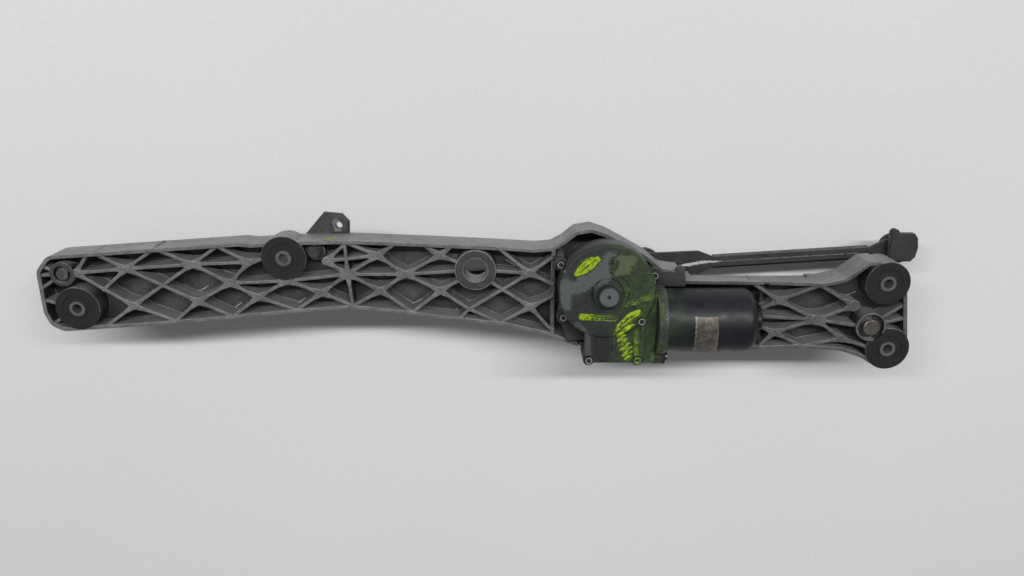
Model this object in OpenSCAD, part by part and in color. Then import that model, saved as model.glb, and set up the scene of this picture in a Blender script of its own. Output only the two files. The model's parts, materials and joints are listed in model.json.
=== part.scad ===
// Windscreen wiper linkage: cast beam, geared motor, crank, two rods, two levers and two wiper spindles.
// Origin at the upper face of the left mounting sleeve. X runs along the beam, Z points to the motor side.

/* [Spindles and output] */
// Left wiper spindle along the beam
left_spindle_x = -9; // [-20:0.5:0]
// Left wiper spindle across the beam
left_spindle_y = 31; // [28:0.5:34]
// Right wiper spindle along the beam
right_spindle_x = 699; // [690:0.5:706]
// Right wiper spindle across the beam
right_spindle_y = -17; // [-19:0.5:-14]
// Output shaft along the beam
output_x = 462; // [458:0.5:466]
// Output shaft across the beam
output_y = 23; // [20:0.5:25]

/* [Linkage] */
// Crank radius
crank_r = 46; // [40:0.5:50]
// Right lever from spindle to ball
right_lever_l = 69; // [60:0.5:76]
// Right lever direction when parked
right_lever_deg = 56.5; // [48:0.5:65]
// Left lever from spindle to ball
left_lever_l = 70; // [62:0.5:76]
// Left lever direction when parked
left_lever_deg = -42; // [-55:0.5:-32]
// Thickness of the levers
lever_t = 4; // [3:0.5:6]
// Radius of a lever around its spindle
lever_hub_r = 12; // [11:0.5:16]
// Radius of a lever around its ball
lever_end_r = 12.5; // [9:0.5:15]
// Thickness of the crank arm
crank_t = 5.5; // [4:0.5:8]
// Radius of the crank arm around the output shaft
crank_hub_r = 15; // [13:0.5:17]
// Radius of the crank arm at the pin
crank_end_r = 11; // [9:0.5:13]
// Height of the crank nut
crank_nut_h = 6.5; // [5:0.5:9]
// Size of the crank nut across its corners
crank_nut_d = 18.5; // [16:0.5:22]

/* [Rods and ball joints] */
// Width of the rod's channel
rod_w = 9.5; // [8:0.25:12]
// Depth of the rod's channel
rod_h = 8; // [7:0.5:10]
// Thickness of the rod's sheet
rod_t = 2.2; // [1.5:0.1:3]
// Width of the lip along one side of the rod
rod_lip = 3.2; // [2:0.2:5]
// Length of the flat flared end of a rod, beyond the ball
rod_flare = 27; // [22:1:32]
// Length of the flared end of a rod at the crank
crank_flare = 60; // [50:1:70]
// Radius of the flared end around the socket
rod_end_r = 12; // [11.5:0.25:14]
// Radius of the ball
ball_r = 6.5; // [5:0.5:7]
// Gap between a ball and its socket
ball_gap = 0.3; // [0.3:0.05:0.6]
// Radius of the stud's neck
stud_r = 4.5; // [3:0.5:5]
// Radius of the stud's collar
collar_r = 7.5; // [6:0.5:9]
// Radius of the plastic socket
socket_r = 10.5; // [9:0.5:12]
// Height of the plastic socket
socket_h = 13; // [11:0.5:15]
// Height of the block on the right lever's socket, above the rod
barrel_h = 7.5; // [6:0.25:9]
// Height of the collar under the right lever's ball
collar_h = 1.6; // [1:0.1:2]
// Gap around a socket or stud in the sheet that holds it
seat_gap = 0.05; // [0.02:0.01:0.1]
// Gap left where the linkage is opened at the crank pin
open_gap = 0.4; // [0.3:0.05:1]

/* [Wiper spindles] */
// Radius of a spindle
spindle_r = 7.5; // [6:0.25:8]
// Radius of the left spindle's stepped tail
left_tail_r = 5; // [4:0.25:5.5]
// Radius of the left boss at its upper end
left_boss_r = 10.8; // [10:0.2:12]
// Radius of the right boss and of both lower tubes
spindle_boss_r = 13; // [12:0.25:14.5]
// Wall of the spindle bushes
bush_t = 2.6; // [1.5:0.1:3]
// Running clearance of every shaft in its bush
shaft_gap = 0.05; // [0.01:0.01:0.1]
// Height of a spindle bush
bush_h = 11; // [8:0.5:14]
// Depth of the right tube below the beam's lower edge
right_tube = 28; // [27:0.25:29]
// Depth of the left tube below the beam's lower edge
left_tube = 18; // [16:0.5:20]
// Height of the washer between tube and lever
washer_h = 2.7; // [1:0.1:3.5]
// Axial play of shafts and levers
axial_gap = 0.3; // [0.3:0.05:0.6]
// Thickness of the circlips
circlip_t = 1.2; // [0.8:0.1:1.6]
// Depth of the circlip groove
groove_d = 0.7; // [0.4:0.1:1]
// Radial width of a circlip outside the shaft
circlip_w = 2.1; // [1:0.1:2.3]
// Length of the thread for the wiper arm's nut
arm_stud_l = 14; // [10:0.5:18]
// Radius of the thread for the wiper arm's nut
arm_stud_r = 4; // [3:0.5:5]
// Length of the cone for the wiper arm
arm_cone_l = 10; // [9:0.25:10.5]
// Radius of the cone's thin end
arm_cone_r = 5.8; // [5.2:0.1:6.5]
// Depth of the spindle ends below the mounting plane
arm_end = 89; // [86:0.5:100]

/* [Beam] */
// Height of the beam's skirt
beam_h = 28; // [25:0.5:32]
// Depth of the rim below the mounting plane
rim_drop = 1; // [0.5:0.25:2]
// Thickness of the outer walls
wall_t = 3.2; // [2.5:0.1:3.8]
// Thickness of the web
web_t = 3; // [2:0.25:4]
// Depth of the web's upper face below the rim
web_depth = 18; // [15:0.5:19]
// Thickness of the ribs
rib_t = 2.6; // [2:0.1:4]
// Depth of the rib tops below the rim
rib_drop = 1.2; // [0.5:0.1:3]
// Height of the ribs under the web
rib_under = 3; // [1:0.5:4]
// Radius of the round pads where ribs meet
pad_r = 3.5; // [3:0.1:5]
// Length over which a rib widens toward a pad
gusset_l = 10; // [6:0.5:12]
// Rise of the pads above the ribs
pad_rise = 0.3; // [0.2:0.1:0.8]
// Left end of the gear and motor pocket
pocket_x0 = 419; // [417:0.5:420]
// Gap between the end of the motor can and the pocket's end
can_gap = 4; // [3:0.5:6]
// Start of the step at the foot of the upper wall, right of the motor flange
foot_cut_x = 540; // [536:0.5:545]
// Length of that step along the beam
foot_cut_l = 105; // [95:0.5:110]
// Inner face of that step across the beam
foot_cut_y = 21.9; // [21.5:0.1:23]
// Height of that step
foot_cut_h = 11.5; // [8:0.5:12]
// Depth of the pocket's end walls below the rim
pocket_drop = 4; // [2:0.5:8]

/* [Mounting points] */
// Middle grommet along the beam
mid_x = 185; // [182:0.5:188]
// Middle grommet across the beam
mid_y = 46; // [44:0.5:47]
// Right upper grommet along the beam
upper_x = 709; // [706:0.5:711]
// Right upper grommet across the beam
upper_y = 23; // [22:0.5:25]
// Right lower grommet along the beam
lower_x = 717; // [715:0.5:718]
// Right lower grommet across the beam
lower_y = -38; // [-40:0.5:-37]
// Radius of a grommet's flanges
grommet_r = 17; // [15:0.25:17.5]
// Radius of a grommet's neck
neck_r = 12.5; // [10:0.25:14]
// Height of a grommet's upper flange
flange_h = 7; // [5:0.25:8]
// Height of the ledge that the grommet grips
ledge_h = 6; // [4:0.25:7]
// Wall around a grommet
boss_t = 2.4; // [1.5:0.1:3]
// Outer radius of a mounting sleeve
sleeve_r = 6.75; // [6:0.25:8]
// Bore radius of a mounting sleeve
sleeve_bore_r = 4.25; // [3.25:0.05:5.25]
// Length of a mounting sleeve
sleeve_l = 23; // [20:0.5:26]
// Radius of the sleeve's foot
sleeve_foot_r = 11; // [8.5:0.25:12]
// Access hole along the beam
access_x = 350; // [347:0.5:353]
// Access hole across the beam
access_y = 35; // [33:0.5:36]
// Radius of the access hole
access_r = 10.5; // [8:0.25:12]
// Radius of the ring around the access hole
access_ring_r = 18; // [15:0.25:18.5]

/* [Support bracket] */
// Bracket bolt along the beam
bolt_x = 211.5; // [210:0.5:213]
// Bracket bolt across the beam
bolt_y = 50.5; // [49.5:0.25:51]
// Thread radius of the bracket bolt
bolt_r = 3; // [2:0.25:3.5]
// Clearance of the bracket bolt in its hole
bolt_gap = 0.3; // [0.2:0.05:0.5]
// Size of the bolt head across its corners
bolt_head_d = 11.5; // [10:0.25:13]
// Height of the bolt head
bolt_head_h = 5; // [3:0.25:6]
// Thickness of the bracket's sheet
bracket_t = 2.5; // [1.5:0.1:3]
// Bracket hole along the beam
bracket_hole_x = 229; // [227:0.5:230]
// Bracket hole across the beam
bracket_hole_y = 69; // [67:0.5:70]
// Radius of the bracket hole
bracket_hole_r = 3; // [2:0.25:3.5]

/* [Gearbox] */
// Radius of the round gear housing
gear_case_r = 41; // [40:0.25:42]
// Radius of the gear housing below the rim
low_case_r = 35.5; // [34:0.25:36]
// Wall of the gear housing
case_t = 3.5; // [2.5:0.1:4]
// Height of the housing's joint face above the mounting plane
joint_z = 16; // [15:0.25:17]
// Depth of the housing's floor below the mounting plane
case_floor = 14; // [13:0.25:16]
// Thickness of the gasket
gasket_t = 1; // [0.5:0.1:1.5]
// Height of the round cover
cover_h = 7; // [6:0.25:9]
// Thickness of the cover's top
cover_top_t = 3; // [2:0.1:3.5]
// Height of the cover over the electrical block
block_cover_h = 4; // [3.5:0.1:5]
// Left side of the electrical block
block_x0 = 446; // [445:0.25:447]
// Right side of the electrical block
block_x1 = 505; // [502:0.5:506]
// Outer side of the electrical block across the beam
block_y = -42; // [-43:0.25:-41.5]
// Depth of the block's floor below the mounting plane
block_floor = 4; // [3.5:0.1:4.5]
// Radius of the cap over the output shaft
cap_r = 8.7; // [8:0.1:9.5]
// Height of the cap above the cover
cap_h = 13; // [12:0.25:15]
// Radius of the ring at the cap's foot
cap_ring_r = 14; // [12:0.25:16]
// Radius of the output shaft
shaft_r = 6; // [5:0.25:6.5]
// Radius of the housing's lower neck
neck_case_r = 12; // [10.5:0.25:13]
// Teeth of the worm wheel
wheel_teeth = 40; // [36:1:44]
// Distance between worm and wheel axes
centre_d = 30; // [29:0.25:31]
// Pitch radius of the worm
worm_r = 5; // [4.5:0.1:5.5]
// Width of teeth and thread at the pitch line
tooth_w = 1.2; // [0.9:0.05:1.3]
// Face width of the worm wheel
wheel_h = 11; // [8:0.5:12]
// Radius of the small screws
screw_r = 2.2; // [1.5:0.1:2.5]
// Radius of the small screws' heads
screw_head_r = 3.7; // [3:0.1:4.2]
// Radius of the housing's mounting lugs
lug_r = 6; // [5:0.25:6.25]

/* [Motor] */
// Height of the motor axis above the mounting plane
motor_z = 8; // [7.5:0.25:8.5]
// Radius of the motor can
can_r = 28; // [27:0.25:28.25]
// Length of the motor can
can_l = 76.5; // [74:0.5:79]
// Length of the bearing hub on the can's closed end
hub_l = 8.5; // [6:0.5:10]
// Radius of the bearing hub
hub_r = 9.5; // [8.5:0.25:12]
// Wall of the motor can
can_t = 2; // [1.5:0.1:2.5]
// Corner radius of the motor can's closed end
can_round = 8; // [4:0.5:10]
// Radius of the motor flange
flange_r = 29.5; // [28.5:0.1:29.75]
// Thickness of the motor flange
flange_t = 8; // [6:0.5:10]
// Thickness of the gear housing's plates
plate_t = 4; // [3:0.25:5]
// Right end of the plate over the upper wall
plate_x1 = 531.3; // [530:0.1:532]
// Upper edge of that plate
plate_y1 = 36.2; // [35.5:0.1:36.5]
// Lower edge of that plate beside the can
plate_y0 = 22.2; // [22:0.1:23]
// Radius of the rounded lug at the plate's right end
plate_lug_r = 4.4; // [4:0.1:5]
// Distance of the flange's ear from the motor axis
ear_d = 34.5; // [33:0.5:36]
// Radius of the flange's ear
ear_r = 6.5; // [5.5:0.25:6.75]
// Thickness of the motor can's ear
ear_t = 3; // [2:0.25:4]
// Radius of the armature core
core_r = 20; // [17:0.25:20.5]
// Room in the can beside the core
core_room = 37.5; // [35:0.5:46]
// Thickness of the magnets
magnet_t = 4.5; // [3:0.25:4.75]
// Radius of the armature shaft
armature_r = 4; // [3.5:0.1:4.5]
// Radius of the shaft's journals
journal_r = 3; // [2.5:0.1:3.4]
// Radius of the commutator
commutator_r = 9; // [8:0.25:10]
// Length of the commutator
commutator_l = 8; // [7:0.25:9]

/* [Connector] */
// Width of the connector socket inside
socket_w = 24; // [20:0.5:25]
// Height of the connector socket inside
socket_hgt = 9; // [7:0.25:9.5]
// Depth of the connector socket
socket_depth = 12.5; // [11:0.25:13]
// Wall of the connector shell
shell_t = 2; // [1.5:0.1:2.25]
// Side of a connector pin
pin_w = 1.5; // [0.6:0.1:2]
// Length of a connector pin
pin_l = 7; // [5:0.25:7.5]

/* [Hidden] */
// Height of a cut that leaves the beam at its top
through_h = 90;
$fn = 64;
left_p = [left_spindle_x, left_spindle_y];
right_p = [right_spindle_x, right_spindle_y];
out_p = [output_x, output_y];
mid_p = [mid_x, mid_y];
upper_p = [upper_x, upper_y];
lower_p = [lower_x, lower_y];

rim_z = -rim_drop;
base_z = rim_z - beam_h;
web_top = rim_z - web_depth;
web_low = web_top - web_t;
rib_top = rim_z - rib_drop;
pad_top = rib_top + pad_rise;
ledge_top = rim_z - flange_h;
ledge_low = ledge_top - ledge_h;
boss_r = grommet_r + boss_t;
boss_top = rim_z;
boss_low = web_low - 1;

// Linkage: the parked crank points straight along the right rod
right_ball = right_p + right_lever_l * [cos(right_lever_deg), sin(right_lever_deg)];
left_ball = left_p + left_lever_l * [cos(left_lever_deg), sin(left_lever_deg)];
to_right = right_ball - out_p;
crank_deg = atan2(to_right[1], to_right[0]);
crank_pin = out_p + crank_r * [cos(crank_deg), sin(crank_deg)];
right_rod_l = norm(to_right) - crank_r;
left_span = crank_pin - left_ball;
left_rod_l = norm(left_span);
left_rod_deg = atan2(left_span[1], left_span[0]);
right_rod_deg = crank_deg + 180;

// Heights of the linkage below the beam
right_tube_z = base_z - right_tube;
left_tube_z = base_z - left_tube;
right_lever_top = right_tube_z - axial_gap - washer_h;
left_lever_top = left_tube_z - axial_gap - washer_h;
crank_top = base_z - 1.5;
crank_low = crank_top - crank_t;
nut_low = crank_low - crank_nut_h;
shaft_low = nut_low - 1;
upper_ball_z = shaft_low - 1 - socket_h / 2;
lower_ball_z = upper_ball_z - socket_h - 3;

// Gearbox heights
wheel_z = motor_z;
motor_y = output_y - centre_d;
flange_x0 = max(block_x1, output_x + gear_case_r + 0.5);
can_x0 = flange_x0 + flange_t;
can_x1 = can_x0 + can_l + hub_l;
hub_in_r = hub_r - can_t;
pocket_x1 = can_x1 + can_gap;
core_l = can_l - core_room;
cover_z = joint_z + gasket_t;
cover_top = cover_z + cover_h;
block_top = cover_z + block_cover_h;
case_in_r = gear_case_r - case_t;
wheel_r = centre_d - worm_r;
worm_pitch = 2 * PI * wheel_r / wheel_teeth;
module_mm = 2 * wheel_r / wheel_teeth;
worm_l = 24;
worm_x0 = output_x - worm_l / 2;
worm_end_x = block_x0 - 10;
bearing_x = worm_end_x + 2;
can_in_r = can_r - can_t;
core_x0 = can_x0 + 20;

// Outer outline of the beam at the rim: x, y and corner radius
outline = [
  [-30.5, 34, 12], [-19, 48, 12], [147, 59.6, 0], [157, 58.6, 0], [200, 61, 0], [240, 61.8, 0],
  [303, 59.4, 0], [350, 57.2, 0], [388, 55.2, 0], [401, 54.2, 9], [415.5, 55.4, 12], [425.5, 61, 0],
  [436, 69.6, 7], [449.5, 72, 9], [463, 67.4, 6], [478, 59.4, 0], [500, 46.6, 0], [511, 36.6, 6],
  [522, 34.8, 0], [528, 34.4, 0], [528, 26, 0], [612, 25, 0], [654, 23.4, 22], [672, 27.6, 14],
  [690, 42, 0], [700, 43, 0], [727, 14, 0], [733.6, -29, 0], [734, -42, 0], [716, -56, 0], [703, -52, 0],
  [694, -46.4, 6], [676, -40, 8], [640, -37.4, 0], [603, -38.6, 0], [449, -39.2, 8], [413, -25, 20],
  [376, -16.4, 0], [338, -11.8, 0], [305, -7.6, 0], [288, -5, 0], [241, 0, 8], [183, -4.8, 0],
  [129, -10.2, 0], [73, -15.2, 0], [21, -18.8, 0], [-15, -21.4, 12], [-26, -16, 10], [-30.5, -4, 10]
];

// Ribs of the lattice: from x, y to x, y
left_ribs = [
  [3, 32, 14, 47], [3, 32, 47, 36], [3, 32, 49, 2], [21, 50, 47, 36], [47, 36, 25, 17],
  [47, 36, 74, 54], [47, 36, 105, 40], [47, 36, 106, 6], [74, 54, 105, 40], [105, 40, 49, 2],
  [105, 40, 128, 56], [105, 40, 154, 42], [105, 40, 136, 23], [136, 23, 106, 6], [106, 6, 84, -12],
  [49, 2, 84, -12], [49, 2, 22, -17], [106, 6, 135, -8], [136, 23, 159, 10], [136, 23, 154, 42],
  [136, 23, 186, 25], [159, 10, 135, -8], [128, 56, 154, 42], [154, 42, 168, 45]
];
mid_ribs = [
  [186, 25, 239, 31], [186, 25, 159, 10], [186, 25, 215, 14], [159, 10, 192, -2], [215, 14, 192, -2],
  [215, 14, 239, 31], [215, 14, 242, 2], [239, 31, 221, 43], [239, 31, 266, 48], [238, 59, 239, 31],
  [239, 31, 242, 2], [239, 31, 267, 16], [239, 31, 289, 31], [221, 43, 266, 48], [238, 58, 221, 43],
  [240, 59, 266, 48], [266, 48, 281, 58], [266, 48, 289, 31], [289, 31, 319, 48], [289, 31, 334, 34],
  [289, 31, 267, 16], [289, 31, 319, 16], [319, 48, 306, 57], [319, 48, 330, 56], [319, 48, 337, 41],
  [319, 16, 338, 27], [319, 16, 344, -1], [319, 16, 294, -4], [267, 16, 242, 2], [267, 16, 294, -4],
  [344, -1, 397, 32], [344, -1, 335, -10], [344, -1, 371, -14], [363, 24, 398, 1], [398, 1, 371, -14],
  [398, 1, 417, 11], [398, 1, 416, -20], [397, 32, 372, 53], [397, 32, 366, 34], [397, 32, 416, 46],
  [397, 32, 417, 22]
];
right_ribs = [
  [590, 24, 616, 7], [616, 7, pocket_x1 + 1, 0], [616, 7, 651, 21], [616, 7, 651, -11],
  [651, -11, pocket_x1 + 1, -8],
  [651, -11, 615, -23], [651, -11, 683, 2], [651, -11, 690, -17], [651, -11, 676, -29],
  [651, 21, 683, 2], [615, -23, pocket_x1 + 1, -18], [615, -23, pocket_x1 + 2, -34], [615, -23, 638, -35],
  [676, -29, 702, -38], [676, -29, 645, -35], [699, -17, 725, 2], [699, -17, 727, -10],
  [699, -17, 729, -23]
];
end_ribs = [
  [-9, 31, -25, 38], [-9, 31, -28, 30], [-9, 31, -28, 19], [0, 0, -28, 7], [0, 0, -22, -13]
];
all_ribs = concat(left_ribs, mid_ribs, right_ribs, end_ribs);

pads = [
  [3, 32], [47, 36], [105, 40], [49, 2], [106, 6], [136, 23], [159, 10], [154, 42], [186, 25], [215, 14],
  [239, 31], [221, 43], [266, 48], [289, 31], [319, 48], [267, 16], [319, 16], [397, 32], [398, 1],
  [616, 7], [615, -23], [676, -29]
];
wide_pads = [[651, -11], [683, 2]];

// Housing screws hold the gearbox to the beam, cover screws hold the cover
housing_screw_p = [[426.5, -5.5], [423.5, 42.5], [504, 33]];
cover_screw_p = [[block_x0 + 2, block_y + 3], [490, block_y + 3], [492, -3]];
cover_screw_l = 3.4;

function unit(v) = v / norm(v);
function turn(v) = [v[1], -v[0]];
function at(list, i) = list[(i + len(list)) % len(list)];
function xy(p) = [p[0], p[1]];

// One corner of a closed outline as an arc of short chords
function corner(a, b, c, r) =
  let (
    u = unit(a - b),
    v = unit(c - b),
    angle = acos(u * v),
    reach = r / tan(angle / 2),
    centre = b + unit(u + v) * r / sin(angle / 2),
    p = b + u * reach - centre,
    q = b + v * reach - centre,
    start = atan2(p[1], p[0]),
    sweep = atan2(p[0] * q[1] - p[1] * q[0], p * q)
  )
  [for (i = [0:5]) centre + r * [cos(start + sweep * i / 5), sin(start + sweep * i / 5)]];

function rounded(pts) = [
  for (i = [0:len(pts) - 1])
    let (b = pts[i])
    each (b[2] > 0 ? corner(xy(at(pts, i - 1)), xy(b), xy(at(pts, i + 1)), b[2]) : [xy(b)])
];

// The outline moved inwards by d
function inset(pts, d) = [
  for (i = [0:len(pts) - 1])
    let (
      n1 = turn(unit(pts[i] - at(pts, i - 1))),
      n2 = turn(unit(at(pts, i + 1) - pts[i]))
    )
    pts[i] + (n1 + n2) * d / (1 + n1 * n2)
];

outer_pts = rounded(outline);
inner_pts = inset(outer_pts, wall_t);

// A thread's cross-section, its crest pointing along angle a
function thread_section(root, crest, pitch, a) =
  let (
    half_root = 180 * (tooth_w + 0.6) / pitch,
    half_crest = 180 * (tooth_w - 0.4) / pitch
  )
  concat(
    [for (t = [-half_crest, 0, half_crest]) crest * [cos(a + t), sin(a + t)]],
    [for (i = [0:8])
      let (t = half_root + (360 - 2 * half_root) * i / 8) root * [cos(a + t), sin(a + t)]]
  );

function wheel_section(teeth, tip, root) = [
  for (i = [0:teeth - 1])
    each [
      for (k = [[root, -tooth_w / 2 - 0.25], [tip, -tooth_w / 2 + 0.2],
                [tip, tooth_w / 2 - 0.2], [root, tooth_w / 2 + 0.25]])
        let (t = -90 + 360 * i / teeth + k[1] / k[0] * 180 / PI) k[0] * [cos(t), sin(t)]
    ]
];

module at_xy(p, z = 0) {
  translate([p[0], p[1], z]) children();
}

module tube(ro, ri, h) {
  difference() {
    cylinder(r = ro, h = h);
    translate([0, 0, -1]) cylinder(r = ri, h = h + 2);
  }
}

// Cylinder along X from x0 to x1 on the motor axis
module along_x(x0, x1, r) {
  translate([x0, motor_y, motor_z]) rotate([0, 90, 0]) cylinder(r = r, h = x1 - x0);
}

module rib_area(s) {
  d = [s[2] - s[0], s[3] - s[1]];
  translate([s[0], s[1]])
    rotate(atan2(d[1], d[0]))
      translate([-1.5, -rib_t / 2])
        square([norm(d) + 3, rib_t]);
}

// All the ribs of the lattice, merged in plan before they are raised
module lattice() {
  translate([0, 0, web_low - rib_under])
    linear_extrude(rib_top - web_low + rib_under)
      offset(delta = 0.01) {
        for (s = all_ribs) rib_area(s);
        for (p = pads) gussets(p, pad_r - 0.2);
        for (p = wide_pads) gussets(p, pad_r + 1.2);
      }
}

// Ribs that end at a pad, widened toward it
module gussets(p, w) {
  for (s = all_ribs) {
    if (s[0] == p[0] && s[1] == p[1]) gusset_area(p, [s[2], s[3]], w);
    if (s[2] == p[0] && s[3] == p[1]) gusset_area(p, [s[0], s[1]], w);
  }
}

module gusset_area(p, q, w) {
  translate(p)
    rotate(atan2(q[1] - p[1], q[0] - p[0]))
      polygon([[-1, -w], [gusset_l, -rib_t / 2], [gusset_l, rib_t / 2], [-1, w]]);
}

module outer_area() {
  union() {
    polygon(outer_pts);
    translate(upper_p) circle(r = boss_r);
    translate(lower_p) circle(r = boss_r);
  }
}

module pocket_area(grow) {
  intersection() {
    polygon(inner_pts);
    translate([pocket_x0 - grow, -60]) square([pocket_x1 - pocket_x0 + 2 * grow, 140]);
  }
}

module cell_area() {
  difference() {
    polygon(inner_pts);
    translate([pocket_x0 - wall_t, -60]) square([pocket_x1 - pocket_x0 + 2 * wall_t, 140]);
  }
}

// Beam: skirt, web and pocket
module beam_shell() {
  difference() {
    translate([0, 0, base_z]) linear_extrude(beam_h) outer_area();
    translate([0, 0, web_top]) linear_extrude(beam_h) cell_area();
    translate([0, 0, base_z - 1]) linear_extrude(web_low - base_z + 1) cell_area();
    translate([0, 0, base_z + web_t]) linear_extrude(beam_h) pocket_area(0);
    translate([pocket_x0 - wall_t - 1, -18, rim_z - pocket_drop]) cube([wall_t + 2, 66, beam_h]);
    translate([pocket_x1 - 1, -35, rim_z - pocket_drop - 6]) cube([wall_t + 2, 58, beam_h]);
    translate([440, -50, -block_floor - 2]) cube([flange_x0 + flange_t - 438, 18, beam_h]);
  }
}

module beam_pads() {
  for (p = pads) at_xy(p, web_low - 1) cylinder(r = pad_r, h = pad_top - web_low + 1);
  for (p = wide_pads) at_xy(p, web_low - 1) cylinder(r = pad_r + 1.4, h = pad_top - web_low + 1);
}

module beam_bosses() {
  for (p = [[0, 0], mid_p]) at_xy(p, boss_low) cylinder(r = boss_r, h = boss_top - boss_low);
  for (p = [upper_p, lower_p]) at_xy(p, base_z) cylinder(r = boss_r, h = boss_top - base_z);
  at_xy(left_p, web_low - 1) cylinder(r = left_boss_r, h = rim_z - 1 - web_low + 1);
  at_xy(left_p, left_tube_z) cylinder(r = spindle_boss_r, h = web_top + 1 - left_tube_z);
  at_xy(right_p, right_tube_z) cylinder(r = spindle_boss_r, h = 0.5 - right_tube_z);
  at_xy([access_x, access_y], web_low - 1) cylinder(r = access_ring_r, h = rim_z - 0.3 - web_low + 1);
  at_xy([bolt_x, bolt_y], base_z) cylinder(r = 8, h = ledge_top - base_z);
  for (p = housing_screw_p) at_xy(p, base_z + 1) cylinder(r = lug_r - 0.5, h = -base_z - 1);
}

module beam_bores() {
  for (p = [[0, 0], mid_p, upper_p, lower_p]) {
    at_xy(p, ledge_top) cylinder(r = grommet_r, h = through_h);
    at_xy(p, base_z - 2) cylinder(r = grommet_r, h = ledge_low - base_z + 2);
    at_xy(p, base_z - 2) cylinder(r = neck_r, h = through_h);
  }
  at_xy(left_p, left_bush_top - bush_h) cylinder(r = left_tail_r + bush_t, h = through_h);
  at_xy(left_p, left_tube_z - 1) cylinder(r = spindle_r + bush_t, h = bush_h + 1);
  at_xy(left_p, left_tube_z + 1) cylinder(r = spindle_r + 0.6, h = left_step - left_tube_z);
  at_xy(left_p, left_step) cylinder(r = left_tail_r + 0.6, h = through_h);
  at_xy(right_p, right_tube_z - 1) cylinder(r = spindle_r + bush_t, h = through_h);
  at_xy(right_p, right_bush_top) cylinder(r = spindle_boss_r - 1.3, h = through_h);
  translate([foot_cut_x, foot_cut_y, base_z - 1]) cube([foot_cut_l, 20, foot_cut_h + 1]);
  at_xy([access_x, access_y], base_z - 1) cylinder(r = access_r, h = through_h);
  at_xy([bolt_x, bolt_y], base_z - 1) cylinder(r = bolt_r + bolt_gap, h = through_h);
  for (p = housing_screw_p) at_xy(p, base_z + 6) cylinder(r = screw_r, h = through_h);
  at_xy(out_p, base_z - 1) cylinder(r = neck_case_r + 2, h = 8);
}

// Heights inside the spindle bosses
left_step = base_z + 4;
left_bush_top = rim_z - 5;
right_bush_top = -4.5;

module frame_casting() {
  color([0.43, 0.43, 0.44])
    difference() {
      union() {
        beam_shell();
        lattice();
        beam_pads();
        beam_bosses();
      }
      beam_bores();
    }
}

// Rubber grommet gripping the ledge of its boss
module grommet(p) {
  color([0.1, 0.1, 0.11])
    at_xy(p)
      difference() {
        union() {
          translate([0, 0, ledge_top]) cylinder(r = grommet_r, h = rim_z - 0.4 - ledge_top);
          translate([0, 0, ledge_low]) cylinder(r = neck_r, h = ledge_h);
          translate([0, 0, ledge_low - 5]) cylinder(r = grommet_r - 1, h = 5);
          translate([0, 0, rim_z]) cylinder(r = boss_r - 0.4, h = 0.8);
          translate([0, 0, rim_z - 1]) cylinder(r = grommet_r, h = 1);
        }
        translate([0, 0, -60]) cylinder(r = sleeve_r, h = 80);
        translate([0, 0, rim_z + 0.2]) tube(grommet_r - 4.5, sleeve_r + 2, 2);
        translate([right_spindle_x - p[0], right_spindle_y - p[1], rim_z - 2])
          cylinder(r = spindle_boss_r + axial_gap, h = 20);
      }
}

module sleeve(p) {
  color([0.55, 0.55, 0.57])
    at_xy(p)
      difference() {
        union() {
          translate([0, 0, -sleeve_l]) cylinder(r = sleeve_r, h = sleeve_l);
          translate([0, 0, -sleeve_l]) cylinder(r = sleeve_foot_r, h = ledge_low - 5 + sleeve_l);
        }
        translate([0, 0, -sleeve_l - 1]) cylinder(r = sleeve_bore_r, h = sleeve_l + 2);
      }
}

// Two bushes of a spindle: upper and lower
module bushes_left() {
  color([0.5, 0.4, 0.24]) {
    at_xy(left_p, left_bush_top - bush_h) tube(left_tail_r + bush_t, left_tail_r + shaft_gap, bush_h);
    at_xy(left_p, left_tube_z) tube(spindle_r + bush_t, spindle_r + shaft_gap, bush_h);
  }
}

module bushes_right() {
  color([0.5, 0.4, 0.24]) {
    at_xy(right_p, right_bush_top - bush_h) tube(spindle_r + bush_t, spindle_r + shaft_gap, bush_h);
    at_xy(right_p, right_tube_z) tube(spindle_r + bush_t, spindle_r + shaft_gap, bush_h);
  }
}

module arm_end_shape() {
  translate([0, 0, -arm_end + arm_stud_l])
    cylinder(r1 = arm_cone_r, r2 = spindle_r, h = arm_cone_l);
  translate([0, 0, -arm_end]) cylinder(r = arm_stud_r, h = arm_stud_l + 1);
}

module right_spindle() {
  top = 2.5;
  low = -arm_end + arm_stud_l + arm_cone_l;
  color([0.45, 0.44, 0.42])
    at_xy(right_p)
      difference() {
        union() {
          translate([0, 0, low]) cylinder(r = spindle_r, h = top - 0.8 - low);
          translate([0, 0, top - 0.8]) cylinder(r1 = spindle_r, r2 = spindle_r - 0.8, h = 0.8);
          arm_end_shape();
        }
        translate([0, 0, right_bush_top + axial_gap])
          tube(spindle_r + 2, spindle_r - groove_d, circlip_t);
      }
}

module left_spindle() {
  top = rim_z - 1.2;
  low = -arm_end + arm_stud_l + arm_cone_l;
  color([0.45, 0.44, 0.42])
    at_xy(left_p)
      difference() {
        union() {
          translate([0, 0, low]) cylinder(r = spindle_r, h = left_step - 1 - low);
          translate([0, 0, left_step - 2]) cylinder(r = left_tail_r, h = top - left_step + 2);
          arm_end_shape();
        }
        translate([0, 0, left_bush_top + axial_gap])
          tube(left_tail_r + 2, left_tail_r - groove_d, circlip_t);
      }
}

module circlip(p, z, r) {
  color([0.2, 0.2, 0.2])
    at_xy(p, z)
      difference() {
        tube(r + circlip_w, r - groove_d, circlip_t);
        translate([0, -1.5, -1]) cube([r + 10, 3, circlip_t + 2]);
      }
}

module washer(p, z) {
  color([0.5, 0.5, 0.52]) at_xy(p, z) tube(lever_hub_r - 2, spindle_r, washer_h);
}

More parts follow.
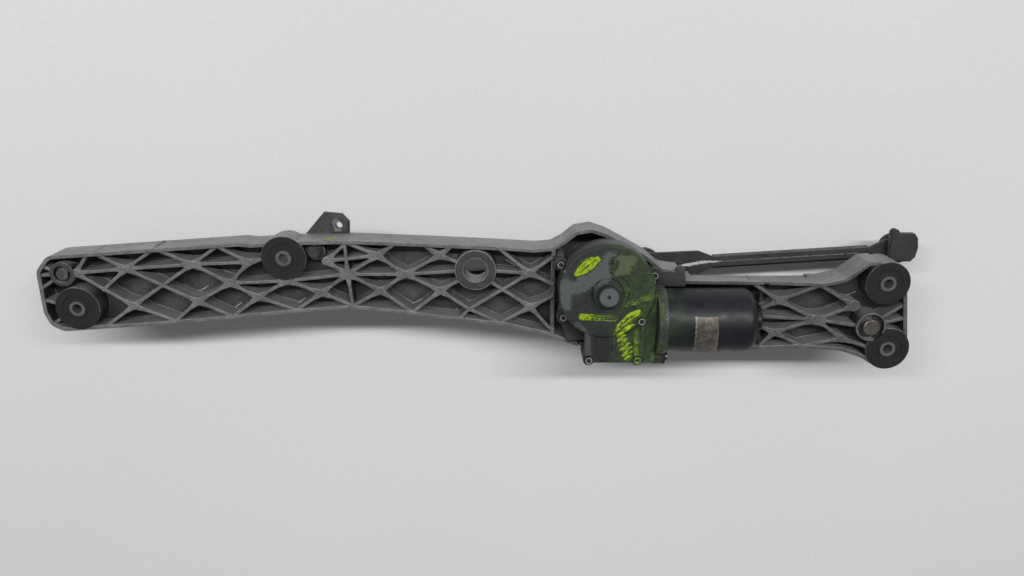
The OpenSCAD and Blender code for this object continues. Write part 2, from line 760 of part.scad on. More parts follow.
// Flat lever with a round hub and a round end
module lever(p, l, a, top) {
  color([0.27, 0.25, 0.23])
    at_xy(p, top - lever_t)
      rotate(a)
        difference() {
          linear_extrude(lever_t)
            union() {
              circle(r = lever_hub_r);
              translate([l, 0]) circle(r = lever_end_r);
              polygon([
                [0, -lever_hub_r + 1.5], [l, -lever_end_r + 1.5],
                [l, lever_end_r - 1.5], [0, lever_hub_r - 1.5]
              ]);
            }
          translate([0, 0, -1]) cylinder(r = spindle_r, h = lever_t + 2);
          translate([l, 0, -1]) cylinder(r = stud_r + seat_gap, h = lever_t + 2);
        }
}

// Ball stud riveted into a lever
module lever_stud(p, top, ball_z) {
  color([0.6, 0.6, 0.62])
    at_xy(p) {
      translate([0, 0, ball_z]) cylinder(r = stud_r, h = top - ball_z);
      translate([0, 0, top]) cylinder(r = stud_r + 1.5, h = 1.5);
      translate([0, 0, top - lever_t - 2]) cylinder(r = collar_r, h = 2);
      translate([0, 0, ball_z]) sphere(r = ball_r);
    }
}

// Plastic socket of a rod, open to the stud above, its ball at the origin
// Ball stud that stands up from a lever lying below its rod
module raised_stud(p, top, ball_z) {
  color([0.6, 0.6, 0.62])
    at_xy(p) {
      translate([0, 0, top - lever_t]) cylinder(r = stud_r, h = ball_z - top + lever_t);
      translate([0, 0, top - lever_t - 1.5]) cylinder(r = stud_r + 1.5, h = 1.5);
      translate([0, 0, top]) cylinder(r = collar_r, h = collar_h);
      translate([0, 0, ball_z]) sphere(r = ball_r);
    }
}

// Closed socket with a block lying on the rod
module capped_socket(p, ball_z) {
  color([0.13, 0.12, 0.11])
    at_xy(p, ball_z)
      difference() {
        union() {
          translate([0, 0, -socket_h / 2]) cylinder(r = socket_r, h = socket_h);
          translate([0, 0, rod_h / 2]) linear_extrude(barrel_h - 1.5) barrel_area(1);
          translate([0, 0, rod_h / 2]) linear_extrude(barrel_h) barrel_area(0.9);
          translate([-8, 17.5, rod_h / 2]) cylinder(r = 3.6, h = barrel_h - 2);
        }
        sphere(r = ball_r + ball_gap);
        translate([0, 0, -socket_h]) cylinder(r = stud_r + 1.2, h = socket_h);
      }
}

module barrel_area(k) {
  translate([0.5, 4])
    scale(k)
      polygon([
        [-13.5, -8], [-9, -13], [8, -13], [12, -9], [13.5, 0], [12, 9],
        [9, 13], [-9, 13], [-12, 10], [-13.5, 4]
      ]);
}

module socket(p, ball_z, open_low) {
  color([0.13, 0.12, 0.11])
    at_xy(p, ball_z)
      difference() {
        translate([0, 0, -socket_h / 2]) cylinder(r = socket_r, h = socket_h);
        sphere(r = ball_r + ball_gap);
        cylinder(r = stud_r + 1.2, h = socket_h);
        if (open_low) translate([0, 0, -socket_h]) cylinder(r = stud_r + 1.2, h = socket_h);
      }
}

// Ball studs at the crank pin; they ride with their rods
module right_crank_stud() {
  color([0.6, 0.6, 0.62])
    at_xy(crank_pin) {
      translate([0, 0, lower_ball_z + socket_h / 2 + 1.2 + open_gap])
        cylinder(r = stud_r - 1, h = upper_ball_z - lower_ball_z - socket_h / 2);
      translate([0, 0, upper_ball_z])
        cylinder(r = stud_r, h = crank_low - open_gap - upper_ball_z);
      translate([0, 0, upper_ball_z + socket_h / 2]) cylinder(r = collar_r, h = 2);
      translate([0, 0, upper_ball_z]) sphere(r = ball_r);
    }
}

module left_crank_stud() {
  color([0.6, 0.6, 0.62])
    at_xy(crank_pin) {
      translate([0, 0, lower_ball_z]) cylinder(r = stud_r, h = socket_h / 2 + 1);
      translate([0, 0, lower_ball_z + socket_h / 2]) cylinder(r = collar_r, h = 1.2);
      translate([0, 0, lower_ball_z]) sphere(r = ball_r);
    }
}

// Pressed rod: channel with a lip along one side and flat flared ends that hold the sockets
module rod(p, l, a, ball_z, f0, f1) {
  color([0.27, 0.27, 0.27])
    at_xy(p, ball_z)
      rotate(a)
        difference() {
          union() {
            translate([f0, -rod_w / 2, -rod_h / 2]) cube([l - f0 - f1, rod_w, rod_h]);
            translate([f0, rod_w / 2 - 1, -rod_h / 2]) cube([l - f0 - f1, rod_lip + 1, rod_t]);
            translate([0, 0, rod_h / 2 - rod_t])
              linear_extrude(rod_t)
                union() {
                  rod_end_area(f0);
                  translate([l, 0]) mirror([1, 0]) rod_end_area(f1);
                }
          }
          translate([f0 - 1, -rod_w / 2 + rod_t, -rod_h / 2 - rod_t])
            cube([l - f0 - f1 + 2, rod_w - 2 * rod_t, rod_h]);
          for (x = [0, l]) translate([x, 0, -rod_h]) cylinder(r = socket_r + seat_gap, h = 2 * rod_h);
        }
}

module right_rod() {
  rod(right_ball, right_rod_l, right_rod_deg, upper_ball_z, rod_flare, crank_flare);
}

module left_rod() {
  rod(crank_pin, left_rod_l, left_rod_deg + 180, lower_ball_z, crank_flare, rod_flare);
}

module rod_end_area(f) {
  union() {
    circle(r = rod_end_r);
    polygon([
      [0, -rod_end_r], [f - 14, -rod_end_r + 1], [f, -rod_w / 2], [f + 4, -rod_w / 2],
      [f + 4, rod_w / 2], [f, rod_w / 2], [f - 14, rod_end_r - 1], [0, rod_end_r]
    ]);
  }
}

module crank_arm() {
  color([0.33, 0.32, 0.31])
    at_xy(out_p, crank_low)
      rotate(crank_deg)
        difference() {
          linear_extrude(crank_t)
            union() {
              circle(r = crank_hub_r);
              translate([crank_r, 0]) circle(r = crank_end_r);
              polygon([
                [0, -crank_hub_r + 2], [crank_r, -crank_end_r + 1],
                [crank_r, crank_end_r - 1], [0, crank_hub_r - 2]
              ]);
            }
          translate([0, 0, -1]) cylinder(r = shaft_r, h = crank_t + 2);
        }
}

module crank_nut() {
  color([0.6, 0.6, 0.62])
    at_xy(out_p, nut_low)
      difference() {
        cylinder(r = crank_nut_d / 2, h = crank_nut_h, $fn = 6);
        translate([0, 0, -1]) cylinder(r = shaft_r, h = crank_nut_h + 2);
      }
}

module crank_washer() {
  color([0.5, 0.5, 0.52]) at_xy(out_p, crank_top) tube(shaft_r + 4, shaft_r, 0.9);
}

module output_shaft() {
  color([0.6, 0.6, 0.62])
    at_xy(out_p, shaft_low) cylinder(r = shaft_r, h = cover_top + cap_h - 5 - shaft_low);
}

module worm_wheel() {
  tip = wheel_r + 0.85 * module_mm;
  root = wheel_r - 1.15 * module_mm;
  color([0.72, 0.68, 0.55])
    at_xy(out_p, wheel_z - wheel_h / 2)
      difference() {
        union() {
          linear_extrude(wheel_h) polygon(wheel_section(wheel_teeth, tip, root));
          translate([0, 0, -3]) cylinder(r = shaft_r + 4, h = wheel_h + 4);
        }
        translate([0, 0, -10]) cylinder(r = shaft_r, h = wheel_h + 20);
        for (a = [30:60:330])
          rotate(a) translate([16, 0, -1]) cylinder(r = 4, h = wheel_h / 2 - 1);
      }
}

module park_ring() {
  color([0.72, 0.45, 0.2])
    at_xy(out_p, wheel_z + wheel_h / 2)
      difference() {
        tube(20, 12, 0.5);
        translate([10, -4, -1]) cube([12, 8, 3]);
      }
}

// Sprung contacts under the cover that read the park ring
module park_contacts() {
  z0 = wheel_z + wheel_h / 2 + 0.5 + axial_gap;
  color([0.75, 0.5, 0.25])
    for (a = [150, 180, 210])
      at_xy(out_p)
        rotate(a) {
          translate([14, -1.5, z0]) cube([14, 3, 0.6]);
          translate([24, -1.5, z0]) cube([4, 3, cover_top - cover_top_t - z0]);
        }
}

module case_area(d) {
  union() {
    translate(out_p) circle(r = gear_case_r - d);
    translate([block_x0 + d, block_y + d])
      square([block_x1 - block_x0 - 2 * d, output_y - block_y - 2 * d]);
  }
}

module gear_housing() {
  color([0.45, 0.45, 0.46])
    difference() {
      union() {
        at_xy(out_p, -case_floor) cylinder(r = low_case_r, h = case_floor + 1);
        at_xy(out_p, 0) cylinder(r = gear_case_r, h = joint_z);
        translate([block_x0, block_y, -block_floor])
          cube([flange_x0 + 1 - block_x0, output_y - block_y, joint_z + block_floor]);
        along_x(flange_x0, can_x0, flange_r);
        ear(flange_x0, flange_t);
        linear_extrude(plate_t) side_plate_area();
        linear_extrude(plate_t) arm_plate_area();
        along_x(worm_end_x, block_x0 + case_t + 1, motor_z);
        at_xy(out_p, base_z - 0.3) cylinder(r = neck_case_r, h = -base_z);
        for (p = housing_screw_p) {
          at_xy(p, 0) cylinder(r = lug_r, h = 6);
          lug_web(p);
        }
        for (i = [0, 1])
          at_xy(cover_screw_p[i], -block_floor) cylinder(r = screw_head_r + 1.2, h = joint_z + block_floor);
      }
      difference() {
        case_cavity();
        cover_posts();
      }
      along_x(block_x1 - case_t - 1, can_x0 + 1, armature_r + 2);
      along_x(bearing_x - 1, block_x0 + case_t + 1, 6);
      at_xy(out_p, base_z - 2) cylinder(r = shaft_r + 2.4, h = 40);
      for (p = housing_screw_p) {
        at_xy(p, -1) cylinder(r = screw_r, h = 20);
        at_xy(p, 6) cylinder(r = screw_head_r + 0.4, h = 30);
      }
      for (p = cover_screw_p) at_xy(p, joint_z - cover_screw_l) cylinder(r = screw_r, h = 20);
      translate([can_x0 - flange_t + 2, motor_y + 18, motor_z - 12])
        rotate([0, 90, 0]) cylinder(r = screw_r, h = flange_t);
      translate([flange_x0 - 1, motor_y - ear_d, motor_z])
        rotate([0, 90, 0]) cylinder(r = screw_r, h = flange_t + 2);
      translate([connector_x - 0.5 * shell_w, block_y - 1, shell_z])
        cube([shell_w, case_t + 2, shell_hgt]);
    }
}

// Room inside the housing for the wheel, the worm and the electrical block
module case_cavity() {
  at_xy(out_p, -case_floor + case_t) cylinder(r = low_case_r - case_t, h = 40);
  at_xy(out_p, case_t) cylinder(r = case_in_r, h = 40);
  translate([block_x0 + case_t, block_y + case_t, -block_floor + 3])
    cube([block_x1 - block_x0 - 2 * case_t, output_y - block_y - 2 * case_t, 40]);
}

// Posts and a bridge inside the housing for the cover screws
module cover_posts() {
  for (i = [0, 1])
    at_xy(cover_screw_p[i], -block_floor)
      cylinder(r = screw_head_r + 1.2, h = joint_z + block_floor);
  at_xy(cover_screw_p[2], joint_z - cover_screw_l)
    union() {
      cylinder(r = screw_head_r + 1.2, h = cover_screw_l);
      translate([0, -3, 0]) cube([12, 6, cover_screw_l]);
    }
}

// Plate of the gear housing over the upper wall, with a rounded lug
module side_plate_area() {
  polygon([
    [flange_x0 - 3, plate_y0 - 4.2], [can_x0, plate_y0 - 4.2], [can_x0, plate_y0],
    [plate_x1, plate_y0], [plate_x1, plate_y1 - 5.2], [plate_x1 - 2.3, plate_y1 - 1.2],
    [plate_x1 - 24.3, plate_y1], [flange_x0 - 3, plate_y1]
  ]);
  translate([plate_x1 - 4.8, plate_y1 - 0.2]) circle(r = plate_lug_r);
}

// Plate between the lower left lug and the block under the gear housing
module arm_plate_area() {
  polygon([
    [423, -8], [431, -8], [438.5, -12.6], [block_x0 + 2, -14], [block_x0 + 2, -27],
    [430.4, -29], [426.8, -17]
  ]);
}

// Ear of the motor flange, with its screw hole cut by the piece that has it
module ear(x, l) {
  translate([x, motor_y - ear_d, motor_z]) rotate([0, 90, 0]) cylinder(r = ear_r, h = l);
  translate([x, motor_y - ear_d, motor_z - ear_r]) cube([l, ear_d - can_r + 6, 2 * ear_r]);
}

// Rib from a mounting lug to the round housing
module lug_web(p) {
  d = out_p - p;
  at_xy(p, 0) rotate(atan2(d[1], d[0])) translate([0, -lug_r + 1, 0]) cube([lug_r + 3, 2 * lug_r - 2, 5]);
}

// Outer size of the connector shell
connector_x = 470;
shell_w = socket_w + 2 * shell_t;
shell_hgt = socket_hgt + 2 * shell_t;
shell_z = joint_z - 1.5 - shell_hgt;

module cover_gasket() {
  color([0.08, 0.08, 0.09])
    translate([0, 0, joint_z])
      linear_extrude(gasket_t)
        difference() {
          case_area(0.4);
          case_area(case_t - 0.4);
          for (p = cover_screw_p) translate(p) circle(r = screw_r);
        }
}

module gear_cover() {
  color([0.23, 0.25, 0.23])
    difference() {
      union() {
        translate([0, 0, cover_z]) linear_extrude(block_cover_h) case_area(0);
        at_xy(out_p, cover_z) cylinder(r = gear_case_r, h = cover_h - 1.5);
        at_xy(out_p, cover_top - 1.5) cylinder(r1 = gear_case_r, r2 = gear_case_r - 1.5, h = 1.5);
        at_xy(out_p, cover_top - 1) cylinder(r1 = cap_ring_r, r2 = cap_ring_r - 1.5, h = 6);
        at_xy(out_p, cover_top) cylinder(r = cap_r, h = cap_h);
        translate([block_x0 - 2, block_y + 2, cover_z]) cube([8, 36, block_cover_h + 2]);
        for (p = cover_screw_p) at_xy(p, cover_z) cylinder(r = screw_head_r + 1.2, h = block_cover_h + 1);
        cover_ridges();
      }
      at_xy(out_p, cover_z - 1) cylinder(r = case_in_r, h = cover_h - cover_top_t + 1);
      translate([block_x0 + case_t, block_y + case_t, cover_z - 1])
        cube([block_x1 - block_x0 - 2 * case_t, output_y - block_y - 2 * case_t, block_cover_h - 0.5]);
      at_xy(out_p, cover_z - 1) cylinder(r = shaft_r + shaft_gap, h = cover_h + cap_h - 2);
      at_xy(out_p, cover_top + cap_h - 1) cylinder(r = 1.2, h = 3);
      for (p = cover_screw_p) {
        at_xy(p, cover_z - 1) cylinder(r = screw_r, h = 20);
        at_xy(p, block_top + 1) cylinder(r = screw_head_r + 0.6, h = 20);
      }
    }
}

// Raised ridges of the cover beside the cap and over the electrical block
module cover_ridges() {
  at_xy(out_p, cover_top - 1) rotate(-25) translate([18, -1.5, 0]) cube([20, 3, 2.4]);
  at_xy(out_p, cover_top - 1) rotate(-12) translate([18, -1.5, 0]) cube([21, 3, 2.4]);
  at_xy(out_p, cover_top - 1)
    intersection() {
      tube(21, 18.5, 2.2);
      rotate(-40) translate([0, 0, -1]) cube([30, 30, 6]);
    }
  translate([block_x0 + 22, block_y + 4, block_top - 1]) cube([3, 34, 2.6]);
  translate([block_x0 + 46, block_y + 4, block_top - 1]) cube([3, 30, 2.6]);
  translate([block_x0 + 22, block_y + 18, block_top - 1]) cube([26, 2.5, 2.2]);
}

// Round-headed screw along Z with its head's seat at the origin
module screw(l) {
  difference() {
    union() {
      translate([0, 0, -l]) cylinder(r = screw_r, h = l + 1);
      cylinder(r = screw_head_r, h = 2.4);
    }
    translate([0, 0, 1]) cylinder(r = 1.7, h = 3, $fn = 6);
  }
}

module cover_screws() {
  color([0.55, 0.55, 0.57])
    for (p = cover_screw_p) at_xy(p, block_top + 1) screw(block_cover_h + 1 + gasket_t + cover_screw_l);
}

module housing_screws() {
  color([0.5, 0.5, 0.52])
    for (p = housing_screw_p) at_xy(p, 6) screw(-base_z - 1);
}

module output_bush() {
  color([0.5, 0.4, 0.24])
    at_xy(out_p, base_z - 0.3) tube(shaft_r + 2.4, shaft_r + shaft_gap, 14);
}

// Drawn steel can, closed and rounded at its far end
module can_section(r, l, round) {
  polygon(concat(
    [[0, 0], [r, 0]],
    [for (a = [0:15:90]) [r - round + round * cos(a), l - round + round * sin(a)]],
    [[0, l]]
  ));
}

module motor_can() {
  color([0.17, 0.17, 0.19])
    translate([can_x0, motor_y, motor_z])
      rotate([0, 90, 0])
        difference() {
          union() {
            rotate_extrude() can_section(can_r, can_l, can_round);
            rotate_extrude() can_section(hub_r, can_l + hub_l, can_t);
            translate([0, -ear_d, 0]) cylinder(r = ear_r, h = ear_t);
            translate([-ear_r, -ear_d, 0]) cube([2 * ear_r, ear_d - can_r + 6, ear_t]);
          }
          translate([0, 0, -0.01])
            rotate_extrude() can_section(can_in_r, can_l - can_t + 0.01, can_round - can_t);
          translate([0, 0, can_l - can_t - 1])
            cylinder(r = hub_in_r + seat_gap, h = hub_l + 1);
          translate([0, -ear_d, -1]) cylinder(r = screw_r, h = ear_t + 2);
        }
}

module magnets() {
  color([0.2, 0.19, 0.2])
    translate([core_x0 - 3, motor_y, motor_z])
      rotate([0, 90, 0])
        difference() {
          tube(can_in_r, can_in_r - magnet_t, core_l + 6);
          for (s = [0, 180])
            rotate(s) translate([0, -7, -1]) cube([40, 14, core_l + 10]);
        }
}

module armature_shaft() {
  color([0.6, 0.6, 0.62]) {
    along_x(worm_end_x + 3, worm_x0 + 1, journal_r);
    along_x(worm_x0 + worm_l - 1, can_x1 - can_t - 7, armature_r);
    along_x(can_x1 - can_t - 8, can_x1 - can_t - 1, journal_r);
    translate([worm_x0, motor_y, motor_z])
      rotate([0, 90, 0])
        linear_extrude(worm_l, twist = -360 * worm_l / worm_pitch, slices = 84, $fn = 12)
          polygon(thread_section(
            worm_r - 1.15 * module_mm, worm_r + 0.85 * module_mm, worm_pitch,
            270 - 180 * worm_l / worm_pitch
          ));
  }
}

module armature_core() {
  color([0.3, 0.3, 0.31])
    translate([core_x0, motor_y, motor_z])
      rotate([0, 90, 0])
        difference() {
          cylinder(r = core_r, h = core_l);
          translate([0, 0, -1]) cylinder(r = armature_r, h = core_l + 2);
          for (a = [0:30:330]) rotate(a) translate([11, -1.5, -1]) cube([12, 3, core_l + 2]);
        }
}

module windings() {
  color([0.6, 0.3, 0.12])
    for (x = [core_x0 - 6, core_x0 + core_l])
      translate([x, motor_y, motor_z]) rotate([0, 90, 0]) tube(core_r - 2, armature_r + 4, 6);
}

module commutator() {
  color([0.65, 0.4, 0.2])
    translate([core_x0 - 14, motor_y, motor_z])
      rotate([0, 90, 0])
        difference() {
          tube(commutator_r, armature_r, commutator_l);
          for (a = [0:30:330])
            rotate(a) translate([commutator_r - 0.8, -0.3, -1]) cube([2, 0.6, commutator_l + 2]);
        }
}

module brush_holder() {
  color([0.3, 0.2, 0.12])
    translate([can_x0, motor_y, motor_z])
      rotate([0, 90, 0])
        difference() {
          union() {
            tube(can_in_r, commutator_r + 2, 3);
            for (s = [0, 180])
              rotate(s) translate([commutator_r + 2, -4.5, 3]) cube([can_in_r - commutator_r - 4, 9, 11]);
          }
          for (s = [0, 180])
            rotate(s) translate([commutator_r, -3, 6]) cube([12, 6, 6]);
          translate([12, 18, -1]) cylinder(r = screw_r, h = 6);
        }
}

module brushes() {
  color([0.12, 0.12, 0.12])
    translate([can_x0, motor_y, motor_z])
      rotate([0, 90, 0])
        for (s = [0, 180])
          rotate(s) translate([commutator_r + axial_gap, -3, 6]) cube([9, 6, 6]);
}

module bearing_front() {
  color([0.5, 0.4, 0.24])
    translate([bearing_x, motor_y, motor_z]) rotate([0, 90, 0]) tube(6, journal_r + shaft_gap, 6);
}

module bearing_rear() {
  color([0.5, 0.4, 0.24])
    translate([can_x1 - can_t - 6, motor_y, motor_z]) rotate([0, 90, 0]) tube(hub_in_r, journal_r + shaft_gap, 6);
}

module motor_screws() {
  color([0.5, 0.5, 0.52])
    {
      translate([can_x0 + 3, motor_y + 18, motor_z - 12]) rotate([0, 90, 0]) screw(flange_t + 1);
      translate([can_x0 + ear_t, motor_y - ear_d, motor_z]) rotate([0, 90, 0]) screw(flange_t + ear_t - 1);
    }
}

module connector_shell() {
  color([0.1, 0.1, 0.1])
    translate([connector_x - 0.5 * shell_w, block_y - 0.5, shell_z])
      difference() {
        cube([shell_w, socket_depth + shell_t, shell_hgt]);
        translate([shell_t, -1, shell_t]) cube([socket_w, socket_depth + 1, socket_hgt]);
      }
}

module connector_pins() {
  color([0.7, 0.6, 0.35])
    for (i = [-1.5:1:1.5])
      translate([connector_x + i * 5 - pin_w / 2, block_y - 0.5 + socket_depth - pin_l, shell_z])
        translate([0, 0, shell_hgt / 2 - pin_w / 2]) cube([pin_w, pin_l, pin_w]);
}

// Sheet bracket under the skirt, with a raised tab and a weld nut
module support_bracket() {
  z = base_z - bracket_t;
  color([0.32, 0.35, 0.3])
    difference() {
      union() {
        translate([0, 0, z])
          linear_extrude(bracket_t)
            polygon([
              [199, 43], [224, 43], [237, 52], [238, 72], [232, 79], [216, 80.5], [196.5, 58.5]
            ]);
        translate([0, 0, base_z])
          linear_extrude(bracket_t)
            polygon([[221.5, 63], [236.5, 63], [236.5, 73], [232.5, 77], [226, 77.5], [221.5, 71.5]]);
        at_xy([bolt_x, bolt_y], z - 4) cylinder(r = 6, h = 4.5, $fn = 6);
      }
      at_xy([bolt_x, bolt_y], z - 6) cylinder(r = bolt_r + bolt_gap, h = 20);
      at_xy([bracket_hole_x, bracket_hole_y], z - 1) cylinder(r = bracket_hole_r, h = 20);
    }
}

module bracket_bolt() {
  color([0.45, 0.44, 0.4])
    at_xy([bolt_x, bolt_y]) {
      translate([0, 0, base_z - bracket_t - 5])
        cylinder(r = bolt_r, h = ledge_top + 1 - base_z + bracket_t + 5);
      translate([0, 0, ledge_top]) cylinder(r = bolt_head_d / 2 + 0.6, h = 1.4);
      translate([0, 0, ledge_top + 1]) cylinder(r = bolt_head_d / 2, h = bolt_head_h - 1, $fn = 6);
    }
}

frame_casting();
grommet([0, 0]);  // grommet_left
grommet(mid_p);  // grommet_mid
grommet(upper_p);  // grommet_right_upper
grommet(lower_p);  // grommet_right_lower
sleeve([0, 0]);  // sleeve_left
sleeve(mid_p);  // sleeve_mid
sleeve(upper_p);  // sleeve_right_upper
sleeve(lower_p);  // sleeve_right_lower
bushes_left();
bushes_right();
support_bracket();
bracket_bolt();
gear_housing();
cover_gasket();
gear_cover();
cover_screws();
housing_screws();
output_bush();
park_contacts();
motor_can();
magnets();
brush_holder();
brushes();
bearing_front();
bearing_rear();
motor_screws();
connector_shell();
connector_pins();
output_shaft();
worm_wheel();
park_ring();
crank_arm();
crank_nut();
crank_washer();
armature_shaft();
armature_core();
windings();
commutator();
right_spindle();
lever(right_p, right_lever_l, right_lever_deg, right_lever_top);  // right_lever
washer(right_p, right_lever_top);  // right_washer
circlip(right_p, right_bush_top + axial_gap, spindle_r);  // right_circlip
raised_stud(right_ball, right_lever_top, upper_ball_z);  // right_lever_stud
left_spindle();
lever(left_p, left_lever_l, left_lever_deg, left_lever_top);  // left_lever
washer(left_p, left_lever_top);  // left_washer
circlip(left_p, left_bush_top + axial_gap, left_tail_r);  // left_circlip
lever_stud(left_ball, left_lever_top, lower_ball_z);  // left_lever_stud
right_rod();
capped_socket(right_ball, upper_ball_z);  // right_lever_socket
socket(crank_pin, upper_ball_z, true);  // right_crank_socket
right_crank_stud();
left_rod();
socket(left_ball, lower_ball_z, false);  // left_lever_socket
socket(crank_pin, lower_ball_z, false);  // left_crank_socket
left_crank_stud();
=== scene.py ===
import json
import math

import bpy
import numpy as np
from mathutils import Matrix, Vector, noise
from mathutils.bvhtree import BVHTree


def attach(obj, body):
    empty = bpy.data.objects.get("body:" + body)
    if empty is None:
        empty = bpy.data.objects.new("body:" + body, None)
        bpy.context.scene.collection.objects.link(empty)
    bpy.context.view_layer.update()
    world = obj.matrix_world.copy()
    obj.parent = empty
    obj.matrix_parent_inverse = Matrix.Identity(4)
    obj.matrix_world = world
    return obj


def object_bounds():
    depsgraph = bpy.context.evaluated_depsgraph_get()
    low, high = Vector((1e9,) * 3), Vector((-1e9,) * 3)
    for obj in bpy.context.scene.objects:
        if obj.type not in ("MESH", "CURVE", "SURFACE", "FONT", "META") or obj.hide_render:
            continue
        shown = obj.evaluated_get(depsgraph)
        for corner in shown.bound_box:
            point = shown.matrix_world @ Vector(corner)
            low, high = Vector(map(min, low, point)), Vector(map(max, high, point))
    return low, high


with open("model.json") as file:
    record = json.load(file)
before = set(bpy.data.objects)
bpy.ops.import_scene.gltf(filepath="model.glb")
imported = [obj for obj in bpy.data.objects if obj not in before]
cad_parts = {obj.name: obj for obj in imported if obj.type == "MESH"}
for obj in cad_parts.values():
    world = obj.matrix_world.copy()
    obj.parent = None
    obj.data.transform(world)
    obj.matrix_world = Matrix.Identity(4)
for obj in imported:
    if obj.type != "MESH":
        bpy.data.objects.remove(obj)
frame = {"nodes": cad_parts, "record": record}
cad_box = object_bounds()
nodes = frame["nodes"]
scene = bpy.context.scene
MM = 0.001
FLOOR_Z = cad_box[0].z


# Materials

LOW, HIGH = 0.3, 0.7     # nearly all of a noise lies between these values
EDGE_START = 0.03        # turn of the rounded normal where an edge begins
EDGE_METAL = 0.3         # and where the edge is worn through, on metal
EDGE_SOFT = 0.35         # the same on rubber, plastic and paint
EDGE_SAMPLES, HOLLOW_SAMPLES = 4, 8
PLAIN_ROUGH = 0.55       # finer share of a noise, where none is given
MIX_A, MIX_B, MIX_COLOR = 6, 7, 2        # colour sockets of a mix
HOLLOW_REACH = 22 * MM   # walls within this distance darken a hollow with painted shade
MID_GREY = (0.5, 0.5, 0.5, 1)
ALONG_BEAM = (0.3, 1, 1)
ALONG_ROD = (0.25, 1, 1)
AROUND_CAN = (1, 2.2, 2.2)
CAN_SCRATCHES = (0.08, 3, 3)
LABEL_COLUMNS = (2.4, 0.55, 0.55)
BROWNER = (0.68, 0.615, 0.6)
WARM_BEFORE, WARM_AFTER = 0.1, 0.06      # stretch of beam over which it turns brown, in metres
GREEN_FROM, GREEN_FULL = 0.458, 0.482    # where the green stain of the cover begins, in metres
CAN_GREEN, CAN_CLEAN = 0.512, 0.534      # where the green on the can ends
LABEL_LEFT = (0.5372, 0.5352)            # pale ends of the label
LABEL_RIGHT = (0.5535, 0.556)


